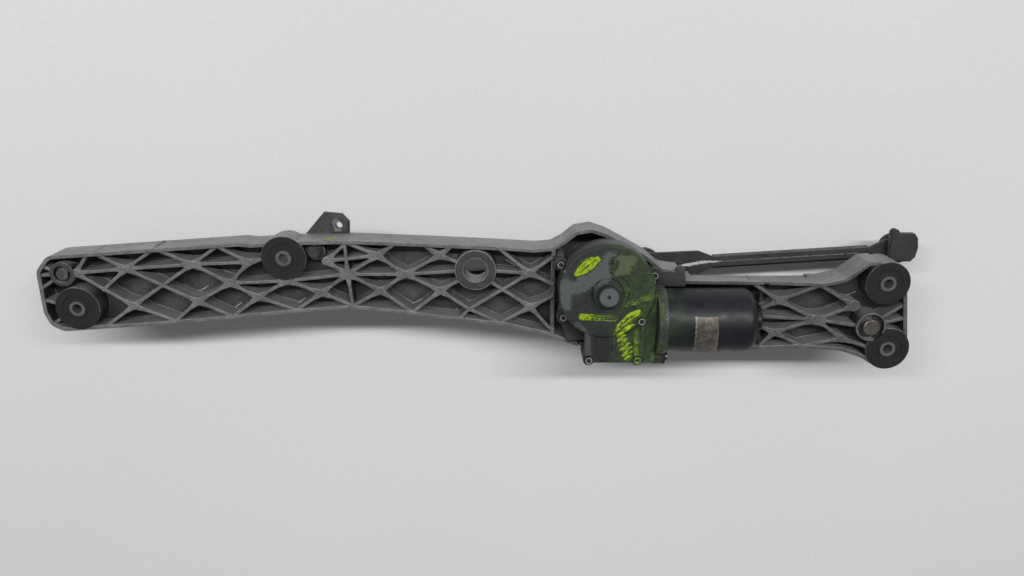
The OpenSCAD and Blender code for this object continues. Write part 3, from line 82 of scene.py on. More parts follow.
class Mat:
    """A surface whose colour, shine and relief are built up from a few noises."""

    def __init__(self, name, metal=0.0, rough=0.5, **extra):
        self.m = bpy.data.materials.new(name)
        self.m.use_nodes = True
        self.t = self.m.node_tree
        self.t.nodes.clear()
        out = self.new("ShaderNodeOutputMaterial")
        self.b = self.new("ShaderNodeBsdfPrincipled")
        self.link(self.b.outputs[0], out.inputs[0])
        self.b.inputs["Base Color"].default_value = MID_GREY
        self.b.inputs["Metallic"].default_value = metal
        self.b.inputs["Roughness"].default_value = rough
        for key, value in extra.items():
            self.b.inputs[key].default_value = value
        self.co = self.new("ShaderNodeTexCoord").outputs["Object"]
        self.normal = None

    def new(self, kind, **props):
        n = self.t.nodes.new(kind)
        for key, value in props.items():
            setattr(n, key, value)
        return n

    def link(self, a, b):
        self.t.links.new(a, b)

    def put(self, socket, value):
        if isinstance(value, bpy.types.NodeSocket):
            self.link(value, socket)
        elif isinstance(value, tuple) and len(value) == 3 and socket.type == "RGBA":
            socket.default_value = (*value, 1)
        else:
            socket.default_value = value

    def noise(self, scale, detail, rough, stretch=None, warp=0.0):
        place = self.co
        if stretch:
            n = self.new("ShaderNodeMapping")
            n.inputs["Scale"].default_value = stretch
            self.link(self.co, n.inputs["Vector"])
            place = n.outputs[0]
        n = self.new("ShaderNodeTexNoise")
        for key, value in zip(("Scale", "Detail", "Roughness", "Distortion"), (scale, detail, rough, warp)):
            n.inputs[key].default_value = value
        self.link(place, n.inputs["Vector"])
        return n.outputs["Fac"]

    def ramp(self, fac, *stops):
        n = self.new("ShaderNodeValToRGB")
        elements = n.color_ramp.elements
        while len(elements) < len(stops):
            elements.new(0.5)
        for element, (place, c) in zip(elements, stops):
            element.position = place
            element.color = (*c, 1) if isinstance(c, tuple) else (c, c, c, 1)
        self.link(fac, n.inputs[0])
        return n.outputs[0]

    def vary(self, scale, *stops, detail=4, rough=0.6, stretch=None, warp=0.0):
        """A colour or an amount that follows a noise through the stops."""
        return self.ramp(self.noise(scale, detail, rough, stretch, warp), *stops)

    def fit(self, value, a, b, c=0.0, d=1.0):
        n = self.new("ShaderNodeMapRange")
        for key, v in zip(("From Min", "From Max", "To Min", "To Max"), (a, b, c, d)):
            n.inputs[key].default_value = v
        self.link(value, n.inputs["Value"])
        return n.outputs[0]

    def math(self, op, a, b):
        n = self.new("ShaderNodeMath", operation=op)
        self.put(n.inputs[0], a)
        self.put(n.inputs[1], b)
        return n.outputs[0]

    def times(self, a, b):
        return self.math("MULTIPLY", a, b)

    def mix(self, fac, a, b, mode="MIX"):
        n = self.new("ShaderNodeMix", data_type="RGBA", blend_type=mode)
        self.put(n.inputs[0], fac)
        self.put(n.inputs[MIX_A], a)
        self.put(n.inputs[MIX_B], b)
        return n.outputs[MIX_COLOR]

    def along(self):
        """Place along the beam, in metres."""
        n = self.new("ShaderNodeSeparateXYZ")
        self.link(self.co, n.inputs[0])
        return n.outputs[0]

    def facing_lamp(self):
        """How far a face looks to the upper edge of the beam, where the lamp stands; used to lay painted
        light.
        """
        n = self.new("ShaderNodeSeparateXYZ")
        self.link(self.new("ShaderNodeNewGeometry").outputs["Normal"], n.inputs[0])
        return n.outputs[1]

    # Painted shade: occlusion, 1 on open faces and lower where walls close round, which darkens a colour
    def painted_hollow_shade(self):
        n = self.new("ShaderNodeAmbientOcclusion", samples=HOLLOW_SAMPLES, only_local=False)
        n.inputs["Distance"].default_value = HOLLOW_REACH
        return n.outputs["AO"]

    def edges(self, radius, full=EDGE_SOFT):
        """1 on outer edges and inner corners, 0 on plain faces; rounds the normal there as well."""
        bevel = self.new("ShaderNodeBevel", samples=EDGE_SAMPLES)
        bevel.inputs["Radius"].default_value = radius * MM
        self.normal = bevel.outputs[0]
        dot = self.new("ShaderNodeVectorMath", operation="DOT_PRODUCT")
        self.link(self.normal, dot.inputs[0])
        self.link(self.new("ShaderNodeNewGeometry").outputs["Normal"], dot.inputs[1])
        return self.fit(self.math("SUBTRACT", 1.0, dot.outputs["Value"]), EDGE_START, full)

    def color(self, socket):
        self.link(socket, self.b.inputs["Base Color"])

    def sheen(self, scale, low, high, detail=3):
        """Roughness that wanders between two values."""
        shine = self.fit(self.noise(scale, detail, PLAIN_ROUGH), LOW, HIGH, low, high)
        self.link(shine, self.b.inputs["Roughness"])

    def relief(self, scale, strength, depth, detail=3, rough=PLAIN_ROUGH):
        """Unevenness, depth in millimetres, over the relief given before."""
        n = self.new("ShaderNodeBump")
        n.inputs["Strength"].default_value = strength
        n.inputs["Distance"].default_value = depth * MM
        self.link(self.noise(scale, detail, rough), n.inputs["Height"])
        if self.normal is not None:
            self.link(self.normal, n.inputs["Normal"])
        self.normal = n.outputs[0]
        self.link(self.normal, self.b.inputs["Normal"])


def grey(v, warm=0.0):
    return (v * (1 + warm), v, v * (1 - warm))


def cast_metal(name, dark, light, edge, metal=0.3, warm_from=0.6):
    """Bare casting: darkened in its recesses by painted shade, paler by painted light over a dusty pattern
    on faces toward the lamp, rubbed bright on its edges, and browner beyond warm_from."""
    m = Mat(name, metal=metal)
    worn = m.edges(1.0, EDGE_METAL)
    # Painted shade: dark where walls close round a recess, light on open faces
    col = m.ramp(m.painted_hollow_shade(), (0.34, dark), (0.9, light))
    blots = m.vary(80, (0.32, 0.6), (0.68, 1.2), detail=5, rough=0.65, warp=0.5)
    col = m.mix(1.0, col, blots, "MULTIPLY")
    grain = m.vary(520, (LOW, 0.66), (0.72, 1.3), rough=0.7)
    col = m.mix(0.85, col, grain, "MULTIPLY")
    warm = m.fit(m.along(), warm_from - WARM_BEFORE, warm_from + WARM_AFTER, 0.0, 0.8)
    col = m.mix(warm, col, BROWNER, "MULTIPLY")
    # Pale dusty patches laid only on faces that look toward the lamp: painted light, with a dusty pattern
    dust = m.vary(60, (LOW, grey(light[1] * 1.1)), (HIGH, grey(light[1] * 1.8)),
                  detail=5, rough=0.65, stretch=ALONG_BEAM, warp=0.3)
    col = m.mix(m.fit(m.facing_lamp(), 0.55, 0.95, 0.0, 0.85), col, dust)
    specks = m.vary(240, (0.66, 0.0), (0.74, 1.0), detail=2, rough=0.5)
    col = m.mix(m.times(specks, 0.45), col, grey(dark[1] * 0.8, 0.06))
    rub = m.times(worn, m.vary(90, (0.34, 0.08), (0.6, 0.95), detail=3, rough=PLAIN_ROUGH))
    m.color(m.mix(rub, col, edge))
    m.sheen(120, 0.4, 0.62, detail=4)
    m.relief(300, 0.35, 0.6, rough=0.6)
    m.relief(1300, 0.45, 0.3, rough=0.6)
    return m.m


def plain_metal(name, base, warm=0.03, rough=0.38, rust=0.25, metal=1.0):
    """Bare steel with brown stains."""
    m = Mat(name, metal=metal)
    worn = m.edges(0.5, EDGE_METAL)
    tone = m.vary(260, (LOW, grey(base * 0.7, warm)), (HIGH, grey(base * 1.2, warm)))
    stain = m.vary(85, (0.5, 0.0), (0.75, rust), rough=0.65, warp=0.6)
    col = m.mix(stain, tone, (base * 0.62, base * 0.42, base * 0.27))
    m.color(m.mix(m.times(worn, 0.55), col, grey(min(1, base * 1.9), warm)))
    m.sheen(180, rough - 0.1, rough + 0.14)
    m.relief(900, 0.2, 0.2)
    return m.m


def coated_metal(name, base, edge, rough=0.45, metal=0.35, warm=0.0, stretch=(1, 1, 1)):
    """Dark coated sheet, chipped, with bare edges."""
    m = Mat(name, metal=metal)
    worn = m.edges(0.7, EDGE_METAL)
    tone = m.vary(70, (LOW, grey(base * 0.68, warm)), (0.72, grey(base * 1.3, warm)),
                  detail=5, rough=0.62, stretch=stretch)
    chips = m.vary(420, (0.62, 0.0), (0.7, 1.0), detail=3)
    col = m.mix(m.times(chips, 0.4), tone, grey(edge * 0.8, 0.05))
    rub = m.times(worn, m.vary(110, (0.34, 0.1), (0.6, 0.9), detail=3, rough=PLAIN_ROUGH))
    m.color(m.mix(rub, col, grey(edge, 0.02)))
    m.sheen(150, rough - 0.1, rough + 0.15, detail=4)
    m.relief(800, 0.22, 0.25)
    return m.m


def rubber(name, base):
    """Black rubber under a little dust."""
    m = Mat(name, rough=0.6, **{"Specular IOR Level": 0.3})
    worn = m.edges(0.6)
    tone = m.vary(90, (LOW, grey(base * 0.85, -0.06)), (HIGH, grey(base * 1.15, -0.06)))
    dust = m.vary(60, (0.55, 0.0), (0.8, 0.2), detail=5, rough=0.7, warp=0.5)
    col = m.mix(dust, tone, grey(base * 2.2, 0.02))
    m.color(m.mix(m.times(worn, 0.25), col, grey(base * 2.4)))
    m.sheen(220, 0.5, 0.7)
    m.relief(1500, 0.2, 0.3)
    return m.m


def plastic(name, base, warm=0.0, rough=0.5, dusty=0.25):
    """Moulded plastic, ferrite or carbon, dusty in patches."""
    m = Mat(name, rough=rough)
    worn = m.edges(0.5)
    tone = m.vary(95, (LOW, grey(base * 0.78, warm)), (HIGH, grey(base * 1.25, warm)))
    dust = m.vary(45, (0.5, 0.0), (0.75, dusty), detail=5, rough=0.7, warp=0.5)
    col = m.mix(dust, tone, grey(min(0.9, base * 2.4), warm * 0.5))
    m.color(m.mix(m.times(worn, 0.3), col, grey(min(0.95, base * 2.2), warm)))
    m.sheen(200, rough - 0.1, rough + 0.15)
    m.relief(1800, 0.18, 0.2, detail=2)
    return m.m


def copper(name, base=(0.62, 0.3, 0.16), rough=0.35):
    """Tarnished copper or bronze."""
    m = Mat(name, metal=1.0)
    m.edges(0.3)
    m.color(m.vary(240, (LOW, tuple(c * 0.55 for c in base)), (HIGH, base)))
    m.sheen(180, rough - 0.08, rough + 0.2)
    m.relief(900, 0.3, 0.3, detail=2, rough=0.5)
    return m.m


def cover_moulding():
    """Dark grey-green moulding, stained green over its right half and the block below."""
    m = Mat("cover_plastic", rough=0.6)
    worn = m.edges(0.6)
    tone = m.vary(110, (LOW, (0.0095, 0.0115, 0.0115)), (HIGH, (0.018, 0.0215, 0.0205)),
                  detail=5, rough=0.62)
    thin = m.vary(38, (0.5, 0.0), (0.72, 0.3), detail=5, rough=0.65, warp=0.5)
    col = m.mix(thin, tone, (0.036, 0.042, 0.04))
    patches = m.vary(52, (LOW, 0.3), (0.62, 0.95), detail=5, rough=0.66, warp=0.7)
    stain = m.times(m.fit(m.along(), GREEN_FROM, GREEN_FULL), patches)
    green = m.vary(150, (LOW, (0.009, 0.018, 0.005)), (0.5, (0.021, 0.045, 0.007)),
                   (0.74, (0.052, 0.1, 0.011)), warp=0.6)
    col = m.mix(stain, col, green)
    m.color(m.mix(m.times(worn, 0.35), col, (0.13, 0.15, 0.12)))
    m.sheen(170, 0.42, 0.72)
    m.relief(180, 0.25, 0.6)
    m.relief(1100, 0.3, 0.3)
    return m.m


def can_paint():
    """Black paint of the motor, dusty and scratched, greenish next to the cover."""
    m = Mat("can_paint", rough=0.36,
            **{"Coat Weight": 0.04, "Coat Roughness": 0.35, "Specular IOR Level": 0.28})
    worn = m.edges(0.6)
    tone = m.vary(60, (LOW, (0.007, 0.0075, 0.0095)), (0.72, (0.012, 0.0128, 0.0155)), detail=5)
    dust = m.vary(42, (0.52, 0.0), (0.8, 0.4), detail=6, rough=0.7, stretch=AROUND_CAN, warp=0.4)
    col = m.mix(dust, tone, (0.026, 0.027, 0.03))
    lines = m.vary(300, (0.66, 0.0), (0.74, 0.2), detail=2, rough=0.5, stretch=CAN_SCRATCHES)
    col = m.mix(lines, col, (0.045, 0.045, 0.05))
    green = m.times(m.fit(m.along(), CAN_GREEN, CAN_CLEAN, 1.0, 0.0), m.vary(60, (0.35, 0.0), (0.65, 0.6)))
    col = m.mix(green, col, (0.03, 0.055, 0.018))
    m.color(m.mix(m.times(worn, 0.35), col, (0.14, 0.14, 0.14)))
    m.sheen(90, 0.36, 0.58, detail=4)
    m.relief(700, 0.12, 0.3, detail=2)
    return m.m


def mark_paint():
    """Yellow-green marking paint."""
    m = Mat("mark_paint", rough=0.35)
    m.color(m.vary(210, (LOW, (0.06, 0.1, 0.003)), (0.46, (0.2, 0.3, 0.006)), (0.68, (0.4, 0.54, 0.016)),
                   warp=0.4))
    m.relief(900, 0.35, 0.3)
    return m.m


def thin_paint():
    """The same paint where the brush ran dry."""
    m = Mat("mark_paint_thin", rough=0.4)
    m.color(m.vary(260, (0.38, (0.025, 0.05, 0.006)), (0.54, (0.1, 0.18, 0.008)), (0.7, (0.3, 0.45, 0.02)),
                   detail=5, rough=0.7, warp=0.7))
    m.relief(700, 0.3, 0.3)
    return m.m


def dust_and_painted_light_film(name, low, high):
    """Dull film between two colours: dust, dirt, paint and worn metal, and painted shade and painted
    highlights.
    """
    m = Mat(name, rough=0.75)
    m.color(m.vary(260, (LOW, low), (HIGH, high), detail=5, rough=0.65, warp=0.4))
    m.relief(1200, 0.3, 0.2)
    return m.m


def label_foil():
    """Worn foil label without print: pale ends, brown rubbed columns."""
    m = Mat("label_foil", metal=0.3, rough=0.45)
    base = m.vary(150, (LOW, (0.045, 0.036, 0.028)), (0.55, (0.1, 0.086, 0.072)),
                  (0.74, (0.26, 0.24, 0.215)), detail=5, rough=0.65, warp=0.3)
    rubbed = m.vary(430, (0.47, 0.0), (0.64, 0.75), rough=0.7, stretch=LABEL_COLUMNS)
    col = m.mix(rubbed, base, (0.034, 0.028, 0.023))
    left, right = m.fit(m.along(), *LABEL_LEFT, 0.0, 0.7), m.fit(m.along(), *LABEL_RIGHT, 0.0, 0.75)
    patches = m.vary(330, (0.35, 0.2), (0.6, 1.0), detail=3, rough=PLAIN_ROUGH)
    m.color(m.mix(m.times(m.math("ADD", left, right), patches), col, (0.36, 0.34, 0.31)))
    m.sheen(200, 0.34, 0.6)
    m.relief(600, 0.3, 0.2)
    return m.m


def floor_paper():
    """Pale grey floor with a fine grain."""
    m = Mat("floor_paper", rough=0.85)
    wide = m.vary(1.6, (LOW, (0.625, 0.627, 0.635)), (HIGH, (0.655, 0.656, 0.664)), detail=3, rough=0.5)
    fine = m.vary(240, (LOW, 0.968), (HIGH, 1.024), rough=0.7)
    m.color(m.mix(1.0, wide, fine, "MULTIPLY"))
    m.relief(420, 0.12, 0.6)
    return m.m


LOOKS = {
    "cast_aluminium": cast_metal("cast_aluminium", grey(0.036, -0.05), grey(0.165, -0.03), grey(0.45)),
    "housing_aluminium": cast_metal("housing_aluminium", (0.012, 0.014, 0.012), (0.046, 0.05, 0.044),
                                    grey(0.14), metal=0.2, warm_from=0.75),
    "grommet_rubber": rubber("grommet_rubber", 0.013),
    "sleeve_steel": plain_metal("sleeve_steel", 0.115, warm=-0.04, rough=0.45, rust=0.06, metal=0.3),
    "bush_bronze": copper("bush_bronze", (0.4, 0.29, 0.16), rough=0.45),
    "bracket_steel": coated_metal("bracket_steel", 0.058, 0.16, warm=0.04),
    "fastener_steel": plain_metal("fastener_steel", 0.12),
    "gasket_rubber": rubber("gasket_rubber", 0.02),
    "cover_plastic": cover_moulding(),
    "contact_copper": copper("contact_copper"),
    "can_paint": can_paint(),
    "magnet_ferrite": plastic("magnet_ferrite", 0.06, rough=0.6),
    "inner_plastic": plastic("inner_plastic", 0.14, warm=0.25, rough=0.55),
    "brush_carbon": plastic("brush_carbon", 0.03),
    "bearing_steel": plain_metal("bearing_steel", 0.5, warm=0.02, rough=0.28, rust=0.05),
    "connector_plastic": plastic("connector_plastic", 0.03, warm=-0.03),
    "shaft_steel": plain_metal("shaft_steel", 0.26, warm=0.06, rough=0.34, rust=0.35),
    "wheel_plastic": plastic("wheel_plastic", 0.62, warm=0.09, rough=0.45, dusty=0.1),
    "lever_steel": coated_metal("lever_steel", 0.05, 0.16, warm=0.03),
    "rod_steel": coated_metal("rod_steel", 0.052, 0.17, rough=0.42, metal=0.5, stretch=ALONG_ROD),
    "core_steel": plain_metal("core_steel", 0.2, warm=0.02, rough=0.4, rust=0.2),
    "ball_steel": plain_metal("ball_steel", 0.55, warm=0.01, rough=0.2, rust=0.05),
    "socket_plastic": plastic("socket_plastic", 0.02, warm=0.12, rough=0.55, dusty=0.35),
}
for part in frame["record"]["subparts"]:
    mesh = nodes[part["node"]].data
    mesh.materials.clear()
    mesh.materials.append(LOOKS[part["material_slot"]])


# Thin films on the solids. Strokes are lists of (x, y, half width) in millimetres.

FILM = 0.08 * MM                         # thickness of a film
LIFT_DUST, LIFT_LAYER = 0.02, 0.03       # how far films stand off the solid, the outer ones farther
LIFT_STAIN, LIFT_FLANGE, LIFT_LIP = 0.05, 0.06, 0.08
LIFT_BASE, LIFT_MID = 0.09, 0.1
LIFT_PAINT, LIFT_SHADE, LIFT_HIGHLIGHT = 0.14, 0.2, 0.3
GRID, GRID_NEAT, GRID_FINE = 0.4, 0.3, 0.25      # spacing of a film's points
ABOVE_ALL, BEHIND_ALL = 60.0, 95.0       # where the search for a solid starts
ABOVE_ROD, BETWEEN_RIBS = 0.0, -6.0      # the same for the rod and for the floors of the rib cells
WAVE, FINE_WAVE = 0.45, 4.1              # how close the waves of a ragged edge lie
EDGE_MARGIN, EDGE_REACH = 2, 3           # room for a ragged edge, in amounts of its raggedness
MAX_DROP = 2.2 * MM                      # a film is cut where the solid falls away by more than this
FAR, TINY = 1e9, 1e-9
RING_HALF = 12                           # steps on half a ring
SCREW_SPACE = 9                          # points closer than this belong to one screw
SPOT_HALF = 0.1                          # half the length of a round spot's stroke


def surface(*names):
    """One search tree over the named solids."""
    points, faces = [], []
    for n in names:
        mesh = nodes[n].data
        base = len(points)
        points += [v.co.copy() for v in mesh.vertices]
        faces += [[base + i for i in p.vertices] for p in mesh.polygons]
    return BVHTree.FromPolygons(points, faces)


gear_side = surface("gear_cover", "gear_housing", "cover_screws", "motor_can", "connector_shell",
                    "housing_screws")
beam_top = surface("frame_casting", "support_bracket")
rod_side = surface("right_rod")


def add_piece(name, points, faces, material, body):
    """A sheet of the film's thickness that rides on a body."""
    mesh = bpy.data.meshes.new(name)
    mesh.from_pydata(points, [], faces)
    mesh.validate()
    for p in mesh.polygons:
        p.use_smooth = True
    mesh.materials.append(material)
    obj = bpy.data.objects.new(name, mesh)
    scene.collection.objects.link(obj)
    mod = obj.modifiers.new("thickness", "SOLIDIFY")
    mod.thickness = FILM
    mod.offset = 1.0
    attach(obj, body)


def outside(p, strokes):
    """Distance of every point from the nearest stroke's edge, below zero inside it."""
    best = np.full(len(p), FAR)
    for s in strokes:
        s = np.array(s)
        for a, b in zip(s[:-1], s[1:]):
            start, d = a[:2], b[:2] - a[:2]
            t = np.clip(((p - start) @ d) / max(d @ d, TINY), 0, 1)
            away = np.linalg.norm(p - (start + t[:, None] * d), axis=1)
            best = np.minimum(best, away - (a[2] + t * (b[2] - a[2])))
    return best


def daub(name, strokes, material, ragged, seed, fine=0.5, tree=gear_side, lift=LIFT_PAINT, step=GRID,
         top=ABOVE_ALL, slot="cover_plastic", body="beam", back=False):
    """A film with ragged edges, seen from above; with back the strokes are (x, z, half width),
    seen from behind the beam."""
    look = Vector((0, -1, 0)) if back else Vector((0, 0, -1))
    every = np.array([p for s in strokes for p in s])
    wide = every[:, 2].max() + EDGE_MARGIN * ragged
    x0, y0 = every[:, 0].min() - wide, every[:, 1].min() - wide
    nx = int((every[:, 0].max() + wide - x0) / step) + 1
    ny = int((every[:, 1].max() + wide - y0) / step) + 1
    gx, gy = np.meshgrid(x0 + step * np.arange(nx), y0 + step * np.arange(ny), indexing="ij")
    p = np.stack([gx.ravel(), gy.ravel()], 1)
    best = outside(p, strokes)
    for i in np.nonzero(best < EDGE_REACH * ragged)[0]:
        q = Vector((p[i][0] * WAVE, p[i][1] * WAVE, seed))
        best[i] += ragged * noise.noise(q) + fine * noise.noise(q * FINE_WAVE)
    inside = (best < 0).reshape(nx, ny)
    index, points, faces = {}, [], []

    def vertex(i, j):
        if (i, j) not in index:
            a, b = gx[i, j] * MM, gy[i, j] * MM
            hit = tree.ray_cast(Vector((a, top * MM, b) if back else (a, b, top * MM)), look)
            if hit[0] is None:
                index[i, j] = None
            else:
                index[i, j] = len(points)
                points.append(hit[0] - lift * MM * look)
        return index[i, j]

    whole = inside[:-1, :-1] & inside[1:, :-1] & inside[:-1, 1:] & inside[1:, 1:]
    for i, j in np.argwhere(whole).tolist():
        q = [vertex(i, j), vertex(i + 1, j), vertex(i + 1, j + 1), vertex(i, j + 1)]
        if None in q:
            continue
        depth = [points[k].dot(look) for k in q]
        if max(depth) - min(depth) < MAX_DROP:
            faces.append(q)
    used = sorted({k for f in faces for k in f})
    place = {k: n for n, k in enumerate(used)}
    add_piece(name, [points[k] for k in used], [[place[k] for k in f] for f in faces], material, body)


def ring(x, y, r, w):
    """A stroke round a middle, w to either side of the radius r."""
    turn = [i * math.pi / RING_HALF for i in range(2 * RING_HALF + 1)]
    return [(x + r * math.cos(a), y + r * math.sin(a), w) for a in turn]


def spot(x, y, r):
    """A round dot."""
    return [(x - SPOT_HALF, y, r), (x + SPOT_HALF, y, r)]


def heads(*names):
    """Middle of every screw in the named nodes, from the spread of its points."""
    found = []
    for co in (v.co / MM for n in names for v in nodes[n].data.vertices):
        near = [f for f in found if (f[0].xy - co.xy).length < SCREW_SPACE]
        if near:
            near[0].append(co)
        else:
            found.append([co])
    return [(sum(c.x for c in f) / len(f), sum(c.y for c in f) / len(f)) for f in found]


# Dust and moss on the gear cover, in three layers that shrink and grow paler

PALE = [
    [(426.4, 30, 5.2), (426.9, 20, 5.0), (427.2, 11, 4.2)], [(427, 27, 5), (436, 26.5, 5.6), (444, 32, 6)],
    [(441, 33, 5.6), (449, 35, 6.6), (457, 40, 8), (463, 47.5, 8), (463.6, 53, 5.6)]]
MOSSY = [[(467, 49, 6), (474, 49, 6), (481, 50.5, 4.6)], [(467, 43, 5), (477, 43, 3.8)]]
LAYERS = (  # how far a layer spreads, the colour of its dust and of its moss
    (2.0, (0.026, 0.031, 0.029), (0.026, 0.034, 0.02)),
    (1.0, (0.04, 0.048, 0.045), (0.042, 0.056, 0.028)),
    (0.0, (0.06, 0.074, 0.069), (0.062, 0.084, 0.036)))
DARKER, PALER = 0.88, 1.2
COVER_SEED, LAYER_SEED = 11.0, 0.12
for n, (grow, pale, mossy) in enumerate(LAYERS):
    for key, strokes, tint in (("dust", PALE, pale), ("moss", MOSSY, mossy)):
        dark, light = (tuple(c * share for c in tint) for share in (DARKER, PALER))
        daub(f"cover_{key}_{n}", [[(x, y, w + grow) for x, y, w in line] for line in strokes],
             dust_and_painted_light_film(f"cover_{key}_{n}", dark, light),
             ragged=2.0, fine=1.0, seed=COVER_SEED + LAYER_SEED * n, lift=LIFT_DUST + LIFT_LAYER * n)

CAP_X, CAP_Y = 462, 23
CAP_RING_R, CAP_RING_W, CAP_DIMPLE_R = 4.8, 3.2, 1.3
daub("cap_dust", [ring(CAP_X, CAP_Y, CAP_RING_R, CAP_RING_W)],
     dust_and_painted_light_film("cap_dust", (0.066, 0.074, 0.077), (0.09, 0.1, 0.104)),
     ragged=0.2, fine=0.1, seed=13.0, lift=LIFT_DUST, step=GRID_NEAT)
# A dark dot in the dimple at the middle of the cap: painted shade
daub("cap_dimple_shade", [spot(CAP_X, CAP_Y, CAP_DIMPLE_R)],
     dust_and_painted_light_film("cap_dimple_shade", grey(0.008), grey(0.016)),
     ragged=0.1, fine=0.1, seed=13.5, lift=LIFT_DUST, step=GRID_FINE)

# Paint marks: strokes without lettering

bright, faint = mark_paint(), thin_paint()
daub("mark_halo", [
    [(435.6, 40, 3.6), (440.9, 44.6, 6.4), (446.8, 49.2, 6.4), (453, 52.4, 3.6)],
    [(440.6, 1.2, 4.2), (450, 1, 3.8), (470, 0.2, 3.4)]],
    dust_and_painted_light_film("mark_halo", (0.016, 0.024, 0.008), (0.034, 0.05, 0.012)),
    ragged=1.4, fine=0.8, seed=13.8, lift=LIFT_MID)
daub("mark_base", [
    [(470.5, -13, 3.2), (478, -4, 4.2), (489.5, 5.2, 3.4)],
    [(473, -14, 3.5), (478, -24, 4.6), (482, -37, 4.2)],
    [(476, 11.5, 2.6), (488, 15.8, 3.2), (500, 19.6, 3.4)],
    [(488.5, -14, 2.5), (489.5, -26, 3.2), (490, -40, 3.4)]],
    dust_and_painted_light_film("mark_base", (0.022, 0.042, 0.006), (0.06, 0.1, 0.01)),
    ragged=1.4, fine=1.0, seed=14.0, lift=LIFT_BASE)
daub("mark_leaf", [[(436, 39.6, 2.4), (440.9, 43.9, 5.0), (446.8, 48.6, 5.2), (452.6, 52.2, 2.6)]],
     bright, ragged=0.6, fine=0.2, seed=1.0, step=GRID_NEAT)
daub("mark_leaf_shade", [
    [(435.6, 44.6, 0.7), (439.2, 48.6, 0.9)], [(437.6, 44.4, 0.5), (443, 48.6, 0.5)],
    [(438.6, 41.8, 0.4), (445, 46.4, 1.1)], [(443, 45.6, 0.3), (450.6, 51.2, 0.9)]],
    dust_and_painted_light_film("mark_shade", (0.02, 0.028, 0.006), (0.06, 0.085, 0.01)),
    ragged=0.5, fine=0.4, seed=1.5, lift=LIFT_SHADE)
daub("mark_pill", [[(441.6, 1.4, 3.2), (449.2, 1.2, 2.7)]],
     bright, ragged=0.6, fine=0.2, seed=2.0, step=GRID_NEAT)
daub("mark_trail", [
    [(449, 2.3, 1.2), (461, 1.9, 0.8), (470.6, 2.1, 0.6)],
    [(449, 0.4, 0.7), (462, 0.2, 0.6), (471, 0, 0.5)],
    [(449, -1.1, 1.0), (462.3, -1.9, 0.7), (470, -2.2, 0.6)]],
    faint, ragged=0.4, fine=0.4, seed=3.0)
daub("mark_strokes", [
    [(470.6, -11.6, 0.8), (472, -6.6, 1.1), (478.6, 1, 1.5), (484, 4.6, 1.9), (489.2, 6.6, 1.7)],
    [(471.6, -10.4, 0.7), (480.3, -2.8, 1.1), (489.5, 4.6, 1.2)],
    [(471.7, -16.6, 1.2), (476.4, -12, 1.6), (480.6, -8.4, 2.2), (484.7, -5.5, 1.0)]],
    bright, ragged=0.8, fine=0.3, seed=4.0, step=GRID_NEAT)
daub("mark_scribble", [[
    (471.7, -17.3, 0.8), (479.1, -16, 0.8), (472.5, -21.3, 0.8), (481, -19.5, 0.9),
    (473.9, -25.5, 0.9), (483.1, -23.3, 0.8), (475.3, -30.2, 0.9), (484.5, -27.3, 0.8),
    (476.8, -35.6, 0.9), (485.3, -31.5, 0.8), (479.5, -38.6, 0.8), (484.9, -35.6, 0.7)]],
    bright, ragged=0.7, fine=0.35, seed=5.0, step=GRID_NEAT)
daub("mark_strip", [[(487.6, -20.6, 1.6), (489.2, -30, 2.4), (490, -38.7, 3.0)]],
     faint, ragged=1.0, seed=6.0)
daub("mark_streaks", [
    [(476.5, 10.6, 0.6), (487.2, 14.3, 0.7), (499.8, 18.6, 0.9)],
    [(475.8, 12.8, 0.4), (487.1, 16.9, 0.6), (499.4, 20.4, 0.5)],
    [(477.5, 14.3, 0.5), (478, 23.3, 0.5), (480.6, 27.7, 0.5)]],
    faint, ragged=0.6, fine=0.6, seed=7.0)
daub("mark_rim", [[(220, -4, 2.0), (224, -7.5, 2.4), (228, -12.5, 2.0)]],
     bright, ragged=1.4, fine=0.9, seed=8.0, tree=beam_top, top=BEHIND_ALL, back=True)

# Screws, block and flange of the gear

SCREWS = heads("cover_screws", "housing_screws")
SCREW_RING_R, SCREW_RING_W, SCREW_HOLLOW_R = 2.5, 0.55, 1.7
FLANGE_X, FLANGE_HALF = 506, 5           # the crest of the flange stays bare
daub("screw_rings", [ring(x, y, SCREW_RING_R, SCREW_RING_W) for x, y in SCREWS],
     dust_and_painted_light_film("ring_steel", grey(0.16), grey(0.3)),
     ragged=0.2, fine=0.15, seed=15.0, lift=LIFT_MID, step=GRID_FINE, slot="fastener_steel")
# Dark dots in the hollows of the screw heads: painted shade
daub("screw_hollow_shade", [spot(x, y, SCREW_HOLLOW_R) for x, y in SCREWS],
     dust_and_painted_light_film("hollow_painted_shade", grey(0.008), grey(0.016)),
     ragged=0.2, fine=0.15, seed=16.0, step=GRID_FINE, slot="fastener_steel")
daub("block_shade", [[(459.5, -17, 6.2), (460.5, -34.5, 6.2)]],
     dust_and_painted_light_film("block_shade", (0.005, 0.0065, 0.006), (0.012, 0.016, 0.013)),
     ragged=1.2, fine=0.8, seed=21.0, lift=LIFT_STAIN)
# A paler column down the block where one of its vertical ridges catches the lamp: painted light
daub("block_lit_column", [[(437.5, -6.5, 3.4), (442, -11, 3.6), (446.6, -19, 3), (447.4, -33, 3)]],
     dust_and_painted_light_film("block_lit_column", (0.03, 0.035, 0.034), (0.058, 0.066, 0.063)),
     ragged=0.8, fine=0.6, seed=22.0, lift=LIFT_STAIN)
daub("flange_stain", [[(FLANGE_X, y, FLANGE_HALF) for y in ends] for ends in ((19, 5), (-20, -38))],
     dust_and_painted_light_film("flange_stain", (0.01, 0.016, 0.007), (0.058, 0.082, 0.024)),
     ragged=2.2, fine=1.2, seed=20.0, lift=LIFT_FLANGE, slot="housing_aluminium")
